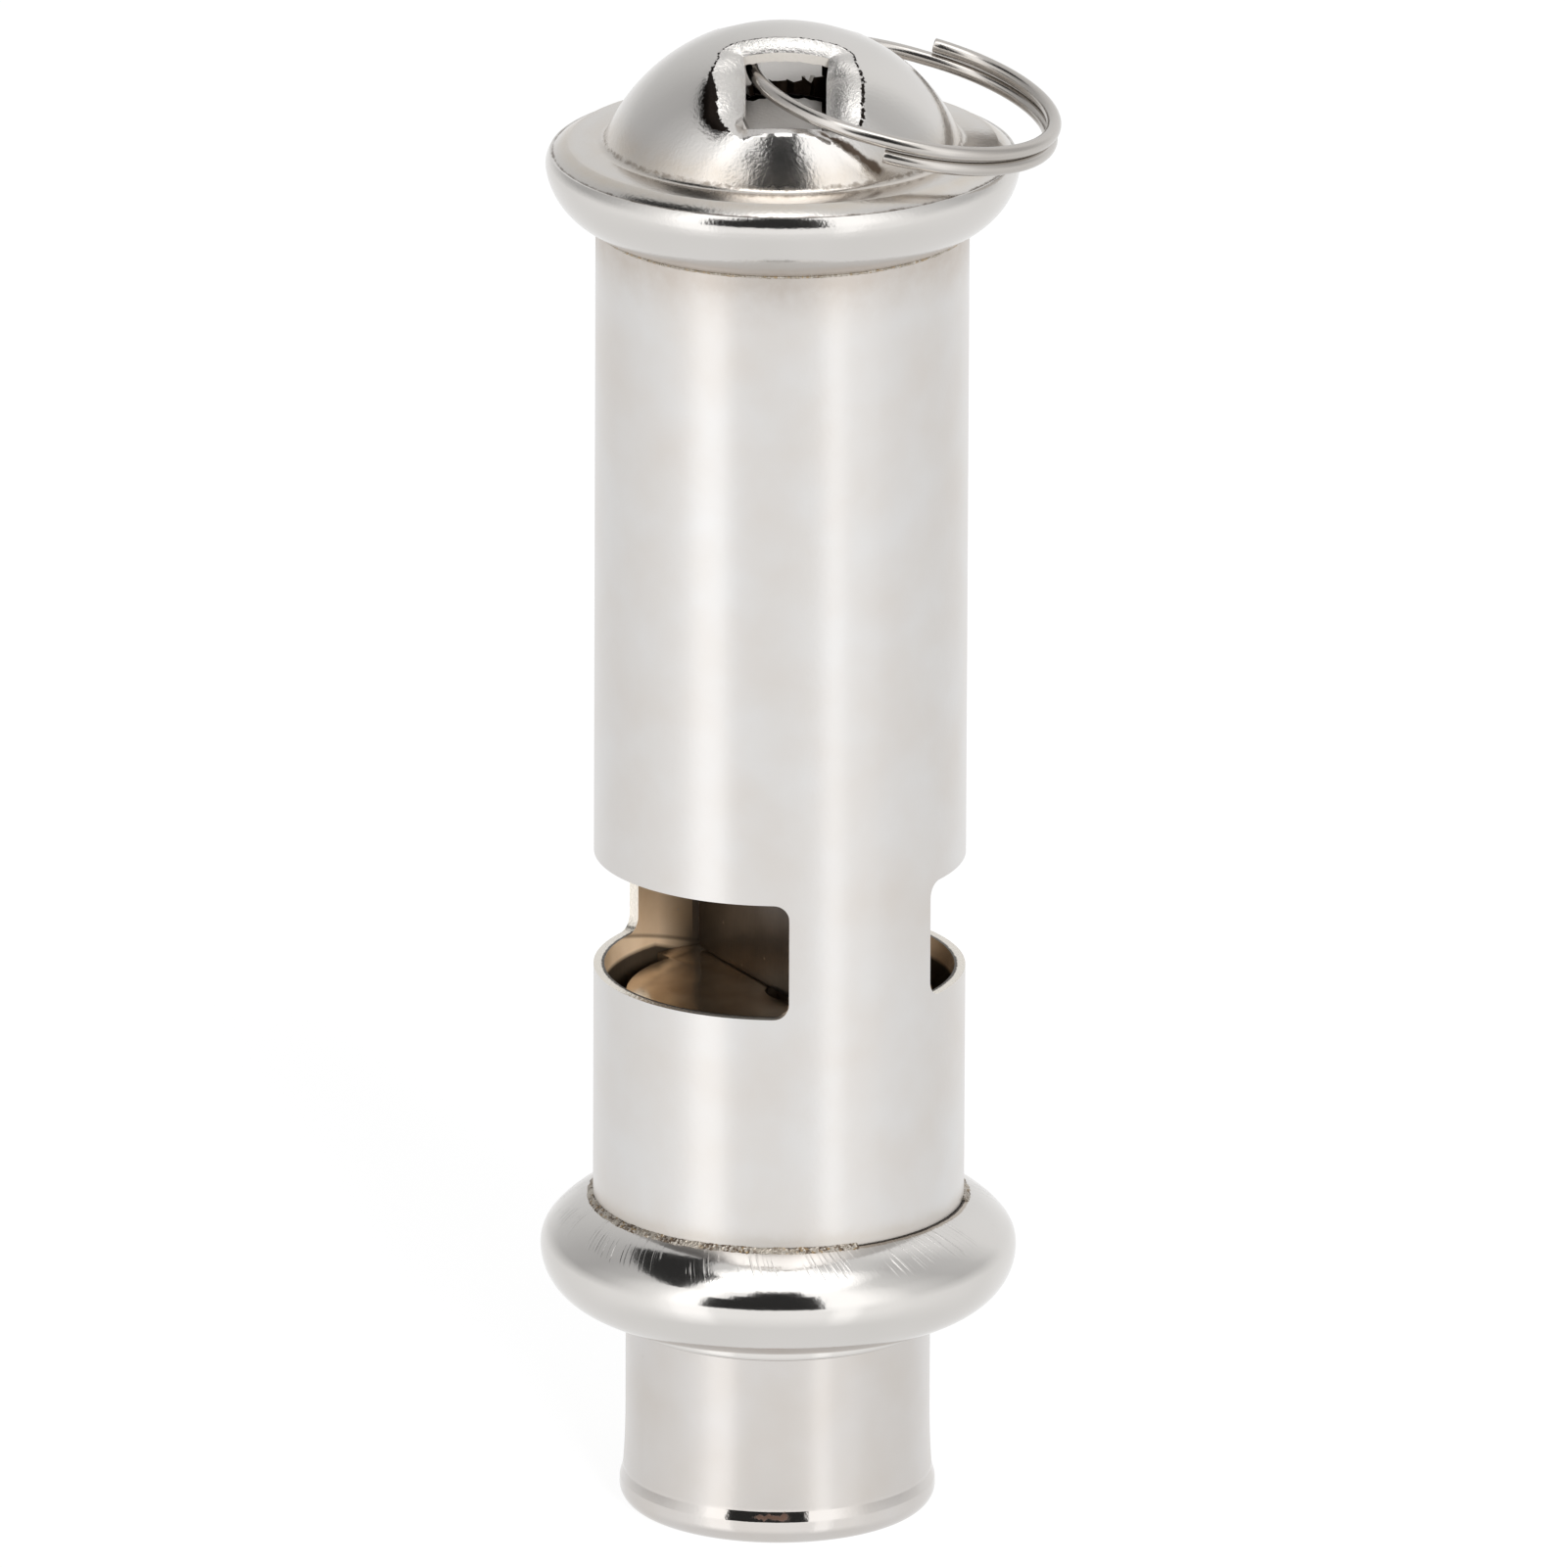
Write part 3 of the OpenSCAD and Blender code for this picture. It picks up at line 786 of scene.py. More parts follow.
@dataclass
class Mouthpiece:
    """The mouthpiece tube with its flared lip."""

    bore: float = 7.0
    radius: float = 7.8
    top_z: float = 16.2
    lip_radius: float = 8.1
    lip_round: float = 0.9
    crease_z: float = 1.84
    bead_z: float = 1.32
    flare_z: float = 5.0

    def outline(self) -> Outline:
        """Outline of the tube, from the bore round the lip to the outside."""
        step_r = self.radius + 0.12
        bead_r = self.lip_radius - 0.03
        out = Outline((self.bore, self.top_z), (self.bore, 0.25), (self.bore + 0.08, 0.08),
                      (self.bore + 0.25, 0.0))
        out.arc((self.lip_radius - self.lip_round, self.lip_round), self.lip_round, -90, 0, 14)
        out.line((bead_r + 0.02, self.bead_z - 0.12), (bead_r + 0.01, self.bead_z),
                 (bead_r, self.bead_z + 0.04), (step_r + 0.015, self.crease_z - 0.04),
                 (step_r, self.crease_z), (step_r - 0.003, self.crease_z + 0.05))
        for t in (i / 8 for i in range(1, 9)):
            out.line((self.radius + (step_r - self.radius) * (1 - t) ** 2,
                      self.crease_z + (self.flare_z - self.crease_z) * t))
        return out.line((self.radius, self.top_z))

    def build(self, skin: Material) -> None:
        """Builds the tube."""
        make_piece(spun(self.outline()), "mouthpiece", Slot.SATIN, "mouthpiece_tube", skin)


@dataclass
class Collar:
    """The spun collar between the mouthpiece and the barrel, with its solder."""

    joint_r: float = 9.55
    mid_z: float = 13.82
    outer_r: float = 12.18
    low_round: float = 2.85
    top_round: float = 1.7
    top_turn: float = 40.0
    shoulder_round: float = 5.3
    top_h: float = 2.66
    wall: float = 0.55
    ring_r: float = 8.2
    foot_z: float = 10.03
    bore: float = 7.85
    floor_z: float = 11.52
    edge: float = 0.2
    open_start: float = 25.0
    open_angle: float = 58.0

    def face(self, t: float) -> list[Point]:
        """Outer face drawn inwards by t, from the joint down."""
        top_c = (self.outer_r - self.top_round, self.mid_z)
        low_c = (self.outer_r - self.low_round, self.mid_z)
        a = math.radians(self.top_turn)
        more = self.shoulder_round - self.top_round
        shoulder_c = (top_c[0] - more * math.cos(a), top_c[1] - more * math.sin(a))
        shoulder = self.shoulder_round - t
        start = math.degrees(math.acos((self.joint_r - shoulder_c[0]) / shoulder))
        out = Outline().arc(shoulder_c, shoulder, start, self.top_turn + 2, 20)
        out.arc(top_c, self.top_round - t, self.top_turn, 0, 16)
        return out.arc(low_c, self.low_round - t, -2, -90, 32).points

    def outline(self) -> Outline:
        """Whole outline of the collar."""
        foot = self.mid_z - self.low_round
        out = Outline(*self.face(0.0)).line((self.ring_r + 0.12, foot), (self.ring_r, foot - 0.1))
        out.arc((self.ring_r - self.edge, self.foot_z + self.edge), self.edge, 0, -90, 5)
        out.line((self.bore, self.foot_z), (self.bore, self.floor_z))
        return out.line(*reversed(self.face(self.wall)))

    def solder(self) -> BMesh:
        """Rough bead in the corner between the collar and the barrel, open on the right."""
        low = self.mid_z + self.top_h
        section = Outline((9.51, low - 0.1), (9.6, low - 0.1), (9.72, low - 0.12), (9.82, low - 0.14),
                          (9.8, low - 0.05), (9.72, low + 0.02), (9.62, low + 0.08), (9.51, low + 0.14))
        bm = spun(section, angle=360 - self.open_angle, steps=900)
        bmesh.ops.holes_fill(bm, edges=[e for e in bm.edges if e.is_boundary], sides=0)
        make_lumpy(bm, 9.62, low, (1.4, 7.0), 0.9)
        bmesh.ops.recalc_face_normals(bm, faces=bm.faces)
        rotate(bm, bm.verts, (CAP_TURN - 90 + self.open_start + self.open_angle, "Z"))
        return bm

    def build(self, skin: Material, solder: Material) -> None:
        """Builds the collar and its solder."""
        make_piece(spun(self.outline()), "spun_collar", Slot.BRIGHT, "collar", skin)
        make_piece(self.solder(), "collar_bead", Slot.SOLDER, "collar_solder", solder, sharp=60)


@dataclass
class Bowl:
    """The lower half of the cap, spun from the barrel's neck out to the brim, and its solder."""

    bore: float = 8.05
    neck_r: float = 9.55
    top_z: float = 71.6
    sheet: float = 0.5
    brim_r: float = 12.05
    brim_round: float = 1.1
    brim_rise: float = 0.65
    big_round: float = 3.52
    start_angle: float = 9.5
    depth: float = 3.28

    def face(self, t: float) -> list[Point]:
        """Outer face drawn inwards by t, from the seam down to the neck."""
        seam = self.top_z + self.sheet
        small_c = (self.brim_r - self.brim_round, seam - self.brim_rise)
        small_r = self.brim_round - t * 0.6
        a = math.radians(-self.start_angle)
        more = self.big_round - self.brim_round
        big_c = (small_c[0] - more * math.cos(a), small_c[1] - more * math.sin(a))
        neck = (self.neck_r, self.top_z - self.depth + t)
        a_top = math.degrees(math.asin((self.brim_rise - t) / small_r))
        a_low = touch_angle(neck, big_c, self.big_round - t)
        out = Outline().arc(small_c, small_r, a_top, -self.start_angle, 16)
        return out.arc(big_c, self.big_round - t, -self.start_angle - 2, a_low, 36).line(neck).points

    def outline(self) -> Outline:
        """Whole outline of the bowl."""
        out = Outline((self.bore, self.top_z), (self.bore, self.top_z + self.sheet))
        return out.line(*self.face(0.0)).line(*reversed(self.face(self.sheet)))

    def solder(self) -> BMesh:
        """Thin rough line of solder under the neck."""
        low = self.top_z - self.depth
        bm = spun(Outline((9.51, low - 0.1), (9.55, low - 0.09), (9.58, low - 0.05), (9.6, low + 0.01),
                          (9.57, low + 0.03), (9.51, low + 0.03)), steps=720)
        make_lumpy(bm, 9.54, low - 0.03, (2.3, 8.0), 0.8)
        return bm

    def build(self, skin: Material, solder: Material) -> None:
        """Builds the bowl and its solder."""
        make_piece(spun(self.outline()), "spun_bowl", Slot.BRIGHT, "cap_bowl", skin)
        make_piece(self.solder(), "cap_bead", Slot.SOLDER, "cap_solder", solder, sharp=60)


@dataclass
class Dome:
    """The dome of the cap, with the tunnel that holds the ring.

    Its own directions are x to the right, y away from the front and z up.
    """

    radius: float = 9.9
    mid_z: float = 68.85
    flange_z: float = 72.6
    seam_z: float = 72.1
    flange_r: float = 11.7
    fillet: float = 0.45
    edge: float = 0.75
    sheet: float = 0.5
    left: float = 2.12
    right: float = 2.45
    strap: float = 2.35
    floor_z: float = 75.5
    roll: float = 1.65
    roll_depth: float = 1.05
    strap_roll: float = 0.8
    strap_depth: float = 0.5
    strap_cut: float = 0.46
    facet_depth: float = 0.06
    tear_right: float = 3.95
    tear_low: float = 75.1
    tear_high: float = 77.0

    def lip_y(self) -> float:
        """Distance of the lip from the tube's axis."""
        return math.sqrt(self.radius ** 2 - (self.floor_z - self.mid_z) ** 2)

    def skin(self) -> BMesh:
        """Outer skin of dome, fillet and flange."""
        fillet_z = self.flange_z + self.fillet
        reach = math.sqrt((self.radius + self.fillet) ** 2 - (fillet_z - self.mid_z) ** 2)
        a = math.degrees(math.atan2(fillet_z - self.mid_z, reach))
        out = Outline().arc((0.0, self.mid_z), self.radius, 90, a, 60)
        out.arc((reach, fillet_z), self.fillet, 180 + a + 8, 270, 8)
        out.line((self.flange_r - self.edge - 0.05, self.flange_z),
                 (self.flange_r - self.edge, self.flange_z - 0.01),
                 (self.flange_r - 0.1, self.seam_z + 0.09), (self.flange_r, self.seam_z + 0.01),
                 (self.flange_r, self.seam_z))
        return spun(out, closed=False, steps=288)

    def in_opening(self, face: BMFace) -> bool:
        """Whether a face of the skin lies in one of the two openings."""
        c = face.calc_center_median()
        if c.z < self.tear_low or math.hypot(c.x, c.y) > self.radius:
            return False
        if -self.left < c.x < self.right and abs(c.y) > self.strap and c.z > self.floor_z:
            return True
        return self.right < c.x < self.tear_right and c.y > self.strap + self.sheet and c.z < self.tear_high

    def rolled(self, co: Vector) -> tuple[Vector, float, float]:
        """Rolls in the borders of the openings.

        The border is widest along the sides and runs out at the lip and behind the strap's edge.

        Args:
            co: Place of a skin point.

        Returns:
            Its place once rolled in, how far it lies in the border and how near to the border's outer line.
        """
        y = abs(co.y)
        # From 0 at the strap to 1 clear of it, and from 1 on the dome to 0 at the lip
        top = smoothstep(self.strap, self.strap + 1.4, y)
        low = math.sqrt(1 - smoothstep(self.lip_y() - 1.5, self.lip_y() + 0.15, y))
        if low < 0.01:
            return co, 0.0, 0.0
        across = max(-self.left - co.x, co.x - self.right, 0.0) / (low * (1.2 + (self.roll - 1.2) * top))
        along = max(self.strap - y, 0.0) / self.strap_roll
        s = math.hypot(across, along)
        # Bends in at the outer line, over this share of the border, and rolls down to the edge of the opening
        bend = 0.07
        share = bend * math.log1p(math.exp(min((1 - s) / bend, 50.0)))
        depth = (self.strap_depth + (self.roll_depth - self.strap_depth) * top) * low
        # The torn crest lies just inside the outer line, and is heavier at the front left
        heavy = smoothstep(3.2, 5.2, -co.y) if co.x < 0 else 0.0
        crest = (0.78 + 0.12 * top + 0.5 * heavy) * math.exp(-((s - 0.97) / (0.11 + 0.16 * heavy)) ** 2)
        inwards = (Vector((0, 0, self.mid_z)) - co).normalized()
        place = co + inwards * depth * (0.62 * share + 0.38 * share ** 2.5)
        return place, 1 - smoothstep(0.9, 1.1, s), crest * min(1.0, 1.6 * low)

    def faceted(self, co: Vector) -> Vector:
        """Place of a skin point once the front under the lip is pressed flat."""
        if co.y > -self.lip_y() + 0.3 or co.z > self.floor_z:
            return co
        t = (self.floor_z - co.z) / (self.floor_z - self.flange_z - 0.3)
        # The flat widens downwards, and its left side is the softer one
        half = 1.8 + 3.0 * t
        soft = 0.35 if co.x > 0 else 2.2
        share = 1 - smoothstep(half - soft, half + 0.1, abs(co.x))
        push = self.facet_depth * 4 * t * max(1 - t, 0.0) * share
        return co + Vector((-co.x * 0.3, -co.y, 0)).normalized() * push

    def fold(self, bm: BMesh, front: bool) -> None:
        """Folds a tongue in from the lip of one opening."""
        sign = -1.0 if front else 1.0
        lip = [e for e in bm.edges if e.is_boundary
               and all(abs(v.co.z - self.floor_z) < 0.3 and v.co.y * sign > self.lip_y() - 1.2
                       and -self.left - 0.01 <= v.co.x <= self.right + 0.01 for v in e.verts)
               and abs(e.verts[0].co.z - e.verts[1].co.z) < 0.3 * e.calc_length()]
        # Steps of the tongue inwards and up: it bends down over the lip and lies level after it
        rows = ((0.06, 0.03), (0.1, 0.0), (0.12, -0.04), (0.16, -0.08), (0.5, -0.05), (0.9, 0.0), (1.1, 0.02),
                (1.2, 0.03), (1.1, 0.02), (0.5, 0.0), (0.35, 0.0))
        stretch = 0.98 if front else 1.12
        done = 0.0
        for i, (dy, dz) in enumerate(rows):
            verts, lip = extruded(bm, lip)
            dress(verts, 1 if i > 2 else 0)
            bmesh.ops.translate(bm, verts=verts, vec=(0, -sign * dy * stretch, dz))
            done += dy * stretch
            for v in verts:
                if i > 3:
                    # The far end is straighter than the lip
                    v.co.y -= sign * 0.35 * (sign * v.co.y - (self.lip_y() - done))
                if i >= len(rows) - 2:
                    v.co.y += sign * 0.25 * noise.noise(Vector((v.co.x * 2.3, 3.0 * sign, 0)))
        if not front:
            self.tear(bm, lip)

    @staticmethod
    def tear(bm: BMesh, lip: list[BMEdge]) -> None:
        """Makes the torn end of the rear tongue stand up, highest on the right, and gives it the finish
        painted dark as shade.
        """
        for part in (0.3, 0.6, 1.0):
            verts, lip = extruded(bm, lip)
            dress(verts, 2)
            for v in verts:
                ragged = noise.noise(Vector((v.co.x * 1.9, 3.0, 0)))
                ragged += 0.8 * noise.noise(Vector((v.co.x * 6.0, 7.0, 0)))
                right = smoothstep(-1.2, 2.0, v.co.x)
                v.co.z += 0.36 * part * max(0.1, 0.2 + 0.6 * right + 0.9 * ragged * (0.25 + 0.75 * right))
                v.co.y += 0.06

    def walls(self, bm: BMesh) -> None:
        """Turns the side borders of the openings down to the tunnel's floor, and the strap's edges in."""
        for x in (-self.left, self.right):
            rim = [e for e in bm.edges if e.is_boundary and e.verts[0].co.z > self.floor_z + 0.15
                   and all(abs(v.co.x - x) < 0.5 and abs(v.co.y) > self.strap - 0.05 for v in e.verts)
                   and abs(e.verts[0].co.y - e.verts[1].co.y) > 0.3 * e.calc_length()]
            verts, _ = extruded(bm, rim)
            for v in verts:
                low = self.floor_z - 0.3 + 0.6 * smoothstep(self.lip_y() - 1.5, self.lip_y(), abs(v.co.y))
                v.co.z = min(v.co.z - 0.05, max(v.co.z - 1.4, low))
                v.co.x += 0.12 if v.co.x > 0 else -0.12
            dress(verts, 1)
        for sign in (-1, 1):
            edge = [e for e in bm.edges if e.is_boundary and all(
                abs(v.co.y - sign * self.strap) < 0.25 and v.co.z > self.floor_z + 1.8
                and -self.left - 0.05 < v.co.x < self.right + 0.05 for v in e.verts)
                and abs(e.verts[0].co.x - e.verts[1].co.x) > 0.7 * e.calc_length()]
            verts, _ = extruded(bm, edge)
            for v in verts:
                v.co.z -= self.strap_cut + 0.06 * noise.noise(Vector((v.co.x * 3.0, 2.0, sign)))
                v.co.y += sign * 0.02
            dress(verts, 3)

    def cut_lines(self, bm: BMesh) -> None:
        """Cuts the skin along the openings, and finely enough for their borders to roll."""
        low = self.tear_low - 0.4
        across = [-self.left, self.right, self.tear_right]
        # Lines 0.12 mm apart over the side borders and a little past them
        for i in range(1, 19):
            across += [-self.left - self.roll * i / 14, self.right + self.roll * i / 14]
        for x in across:
            cut(bm, (x, 0, 0), (1, 0, 0), low)
        for y in (self.strap, self.strap + self.sheet, *(self.strap - 0.07 * i for i in range(1, 15))):
            for sign in (1, -1):
                cut(bm, (0, sign * y, 0), (0, 1, 0), low)
        for z in (self.floor_z, self.tear_low, self.tear_high):
            cut(bm, (0, 0, z), (0, 0, 1), low)

    def build(self, *finishes: Material) -> None:
        """Spins, cuts, rolls and folds the dome.

        Args:
            finishes: Finishes of its skin, its folded tongues, its torn end painted as shade and its cut
                faces.
        """
        bm = self.skin()
        self.cut_lines(bm)
        put_in_order(bm)
        bmesh.ops.delete(bm, geom=[f for f in bm.faces if self.in_opening(f)], context="FACES")
        bmesh.ops.remove_doubles(bm, verts=bm.verts, dist=4e-3)
        border, crest = (bm.verts.layers.float.new(name) for name in ("border", "crest"))
        for vert in bm.verts:
            if vert.co.z > self.flange_z + 0.2:
                place, vert[border], vert[crest] = self.rolled(vert.co)
                vert.co = self.faceted(place)
        self.fold(bm, front=True)
        self.fold(bm, front=False)
        self.walls(bm)
        bmesh.ops.recalc_face_normals(bm, faces=bm.faces)
        if max(bm.faces, key=lambda f: f.calc_center_median().z).normal.z < 0:
            bmesh.ops.reverse_faces(bm, faces=bm.faces)
        bm = walled(bm, self.sheet)
        rotate(bm, bm.verts, (CAP_TURN, "Z"))
        make_piece(bm, "pressed_dome", Slot.BRIGHT, "cap_dome", *finishes, sharp=28)


@dataclass
class SplitRing:
    """The split ring: one and a half turns of steel wire through the tunnel."""

    wire: float = 0.75
    radius: float = 7.8
    pitch: float = 0.8
    centre: tuple[float, float, float] = (6.05, -0.6, 75.1)
    lean: float = 12.8
    front_lean: float = 3.8
    spin: float = 8.2
    short: float = 2.5
    steps: int = 60

    def build(self, steel: Material) -> None:
        """Winds the ring and puts it in the tunnel."""
        bm = bmesh.new()
        section = bmesh.ops.create_circle(bm, cap_ends=False, radius=self.wire / 2, segments=28)["verts"]
        rotate(bm, section, (90, "X"))
        bmesh.ops.translate(bm, verts=section, vec=(self.radius, 0, -self.pitch / 2))
        rotate(bm, section, (self.short - 90, "Z"))
        last: list[object] = section + bm.edges[:]
        for rise, angle in ((0.0, 180 - self.short), (self.pitch, 180), (0.0, 180 - self.short)):
            last = bmesh.ops.spin(bm, geom=last, cent=(0, 0, 0), axis=(0, 0, 1), angle=math.radians(angle),
                                  dvec=(0, 0, rise / self.steps), steps=self.steps)["geom_last"]
        bmesh.ops.remove_doubles(bm, verts=bm.verts, dist=1e-5)
        bmesh.ops.holes_fill(bm, edges=[e for e in bm.edges if e.is_boundary], sides=0)
        bmesh.ops.recalc_face_normals(bm, faces=bm.faces)
        bevelled(bm, [e for e in bm.edges if e.calc_face_angle(0.0) > math.radians(60)], 0.05)
        rotate(bm, bm.verts, (self.lean, "Y"), (self.front_lean, "X"), (-self.spin, "Z"))
        bmesh.ops.translate(bm, verts=bm.verts, vec=self.centre)
        rotate(bm, bm.verts, (CAP_TURN, "Z"))
        make_piece(bm, "wound_ring", Slot.STEEL, "split_ring", steel, body=Body.RING, sharp=40)


@dataclass
class Inside:
    """The plug in the barrel, the plate that stands on it and the two discs above."""

    plug_r: float = 8.9
    waist_r: float = 7.85
    flat_angle: float = 147.0
    plug_top: float = 27.3
    plug_h: float = 5.0
    slot: tuple[Point, ...] = ((-0.8, 0.0), (-0.75, 0.3), (-0.45, 0.58), (0.0, 0.74), (0.4, 0.78),
                               (0.85, 0.76), (1.25, 0.62), (1.55, 0.3), (1.6, 0.0))
    slot_deep: float = 1.1
    plate_t: float = 0.5
    plate_half: float = 8.3
    corner: float = 0.4
    edge: float = 0.1

    def plug(self) -> BMesh:
        """Plug with a step down on each side and a slot for the plate's tab."""
        bm = bmesh.new()
        outer = bmesh.ops.create_circle(bm, cap_ends=False, segments=288, radius=self.plug_r)["verts"]
        for vert in outer:
            turn = math.degrees(math.atan2(vert.co.y, vert.co.x)) % 180
            if abs(turn - 90) < self.flat_angle / 2:
                vert.co *= self.waist_r / self.plug_r
        round_edges = bm.edges[:]
        front = [(x, -y) for x, y in self.slot]
        slot = [bm.verts.new((x, y, 0)) for x, y in front + list(reversed(self.slot[1:-1]))]
        slot_edges = [bm.edges.new(pair) for pair in zip(slot, slot[1:] + slot[:1])]
        bmesh.ops.triangle_fill(bm, edges=round_edges + slot_edges, use_beauty=True)
        for edges, deep in ((round_edges, self.plug_h), (slot_edges, self.slot_deep)):
            verts, low = extruded(bm, edges)
            bmesh.ops.translate(bm, verts=verts, vec=(0, 0, -deep))
            bmesh.ops.holes_fill(bm, edges=low, sides=0)
        dress(verts, 1)
        bmesh.ops.recalc_face_normals(bm, faces=bm.faces)
        top = [e for e in bm.edges if all(abs(v.co.z) < 1e-5 for v in e.verts)]
        bevelled(bm, [e for e in top if e.calc_face_angle(0.0) > 1.0], 0.06)
        bmesh.ops.translate(bm, verts=bm.verts, vec=(0, 0, self.plug_top))
        return bm

    def plate(self) -> BMesh:
        """Plate across the tube with rounded lower corners, and ends painted near white as a highlight."""
        low, high = self.plug_top + 0.05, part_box("divider_plate")[1].z / MM
        half, c = self.plate_half, self.corner
        out = Outline((half, high), (-half, high)).arc((-half + c, low + c), c, 180, 270, 8)
        out.arc((half - c, low + c), c, 270, 360, 8)
        bm = bmesh.new()
        face = bm.faces.new([bm.verts.new((x, -self.plate_t / 2, z)) for x, z in out.points])
        made = bmesh.ops.extrude_face_region(bm, geom=[face], use_keep_orig=True)["geom"]
        bmesh.ops.translate(bm, verts=[g for g in made if isinstance(g, BMVert)], vec=(0, self.plate_t, 0))
        bmesh.ops.recalc_face_normals(bm, faces=bm.faces)
        for face in bevelled(bm, [e for e in bm.edges if e.calc_face_angle(0.0) > 1.0], self.edge, 3):
            # The ends take the burr's finish, painted near white as a highlight
            if abs(face.calc_center_median().x) > half - c * 0.4:
                face.material_index = 1
        return bm

    def build(self, brass: Material, plate: Material, raw: Material, edge: Material) -> None:
        """Builds the plug and the plate, and gives the discs their finish.

        Args:
            brass: Finish of the plug.
            plate: Finish of the plate.
            raw: Finish of the two discs and the slot.
            edge: Finish of the plate's ends, painted near white as a highlight.
        """
        make_piece(self.plug(), "plug_body", Slot.BRASS, "windway_plug", brass, raw)
        make_piece(self.plate(), "parting_plate", Slot.BRASS, "divider_plate", plate, edge)
        for name in ("chamber_stop", "top_disc"):
            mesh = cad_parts[name].data
            mesh.materials.clear()
            mesh.materials.append(raw)
            log.info("%s: dressed", name)


@dataclass
class Studio:
    """Camera, floor and light.

    Lengths are in millimetres, apart from those of the floor and the lamp, which are in metres.
    Azimuths are measured from the camera, to the right as seen from it.
    """

    distance: float = 1900.0
    elevation: float = 17.7
    target_z: float = 39.07
    aim_right: float = 0.195
    aim_down: float = 0.645
    roll: float = 0.0043
    lens: float = 855.1
    floor_size: float = 2.5
    floor_tone: float = 0.25
    floor_glow: float = 0.86
    lamp_azimuth: float = 19.0
    lamp_height: float = 13.0
    lamp_far: float = 0.9
    lamp_size: float = 0.3
    lamp_watt: float = 6.4
    room: float = 0.55
    top_light: float = 2.0
    # Light at each azimuth, for level and falling directions and for rising ones
    low_bands: tuple[Point, ...] = (
        (-180, 0.94), (-150, 0.9), (-126, 0.89), (-100, 0.95), (-80, 1.0), (-66, 1.06), (-56, 1.22),
        (-50, 1.4), (-36, 1.4), (-31, 1.1), (-20, 1.09), (18, 1.09), (25, 1.1), (29, 1.34), (37, 1.34),
        (42, 1.1), (58, 1.07), (70, 0.99), (90, 0.95), (118, 0.91), (140, 0.94), (180, 0.96))
    high_bands: tuple[Point, ...] = (
        (-180, 0.8), (-150, 0.66), (-130, 0.54), (-112, 0.5), (-92, 0.62), (-76, 0.88), (-63, 1.05),
        (-56, 1.3), (-51, 1.56), (-38, 1.56), (-30, 1.2), (18, 1.2), (22, 1.45), (42, 1.45), (56, 1.15),
        (70, 0.85), (100, 0.6), (118, 0.66), (137, 0.9), (150, 0.9), (165, 0.85), (180, 0.8))
    # Dark places: azimuth from and to, height from and to
    dark: tuple[tuple[float, float, float, float], ...] = (
        (-37, 22, 2, 35), (-26, 22, 32, 47), (-18, 16, 44, 63), (-135, -62, 49, 72))
    dark_light: float = 0.03
    dark_edge: float = 1.5

    @staticmethod
    def toward(azimuth: float, height: float) -> Vector:
        """Direction at an azimuth and height in degrees."""
        a, e = math.radians(CAP_TURN + azimuth), math.radians(height)
        return Vector((math.sin(a) * math.cos(e), -math.cos(a) * math.cos(e), math.sin(e)))

    def camera(self) -> None:
        """Puts the camera where the photograph was taken."""
        back = self.toward(0.0, self.elevation)
        a = math.radians(CAP_TURN)
        right = Vector((math.cos(a), math.sin(a), 0.0))
        up = back.cross(right)
        aim = Vector((0, 0, self.target_z)) + right * self.aim_right - up * self.aim_down
        right = right * math.cos(self.roll) + up * math.sin(self.roll)
        data = bpy.data.cameras.new("camera")
        data.lens = self.lens
        data.sensor_width = 36.0
        data.clip_start = 0.1
        data.clip_end = 20.0
        camera = linked("camera", data)
        place = Matrix((right, back.cross(right), back)).transposed().to_4x4()
        place.translation = (aim + back * self.distance) * MM
        camera.matrix_world = place
        bpy.context.scene.camera = camera

    def floor(self) -> None:
        """Lays a pale floor that takes the object's shadow."""
        bm = bmesh.new()
        bmesh.ops.create_circle(bm, cap_ends=True, radius=self.floor_size, segments=96)
        mesh = bpy.data.meshes.new("floor")
        bm.to_mesh(mesh)
        bm.free()
        floor = linked("floor", mesh)
        material = bpy.data.materials.new("pale_floor")
        tree = emptied(material)
        seen = add(tree, "ShaderNodeLightPath").outputs["Is Camera Ray"]
        matt = add(tree, "ShaderNodeBsdfDiffuse", {0: (self.floor_tone,) * 3 + (1.0,)})
        level = add(tree, MATH, {0: seen, 1: self.floor_glow}, operation="MULTIPLY")
        glow = add(tree, "ShaderNodeEmission", {0: (1.0, 1.0, 1.0, 1.0), 1: level})
        add(tree, "ShaderNodeOutputMaterial", {0: add(tree, "ShaderNodeAddShader", {0: matt, 1: glow})})
        mesh.materials.append(material)
        floor.visible_glossy = False

    def ring_of_light(self, tree: NodeTree, azimuth: Given, bands: tuple[Point, ...]) -> Given:
        """Light by azimuth.

        Args:
            tree: The world's node tree.
            azimuth: The azimuth in degrees.
            bands: Pairs of azimuth and light, from -180 to 180 degrees.

        Returns:
            The light.
        """
        ramp = add(tree, "ShaderNodeValToRGB", {0: add(tree, RANGE, {0: azimuth, 1: -180.0, 2: 180.0})})
        stops = ramp.color_ramp.elements
        stops.remove(stops[1])
        for i, (angle, level) in enumerate(bands):
            stop = stops.new((angle + 180) / 360) if i else stops[0]
            stop.color = (level / self.top_light,) * 3 + (1.0,)
        return add(tree, MATH, {0: add(tree, SPLIT, {0: ramp}), 1: self.top_light}, operation="MULTIPLY")

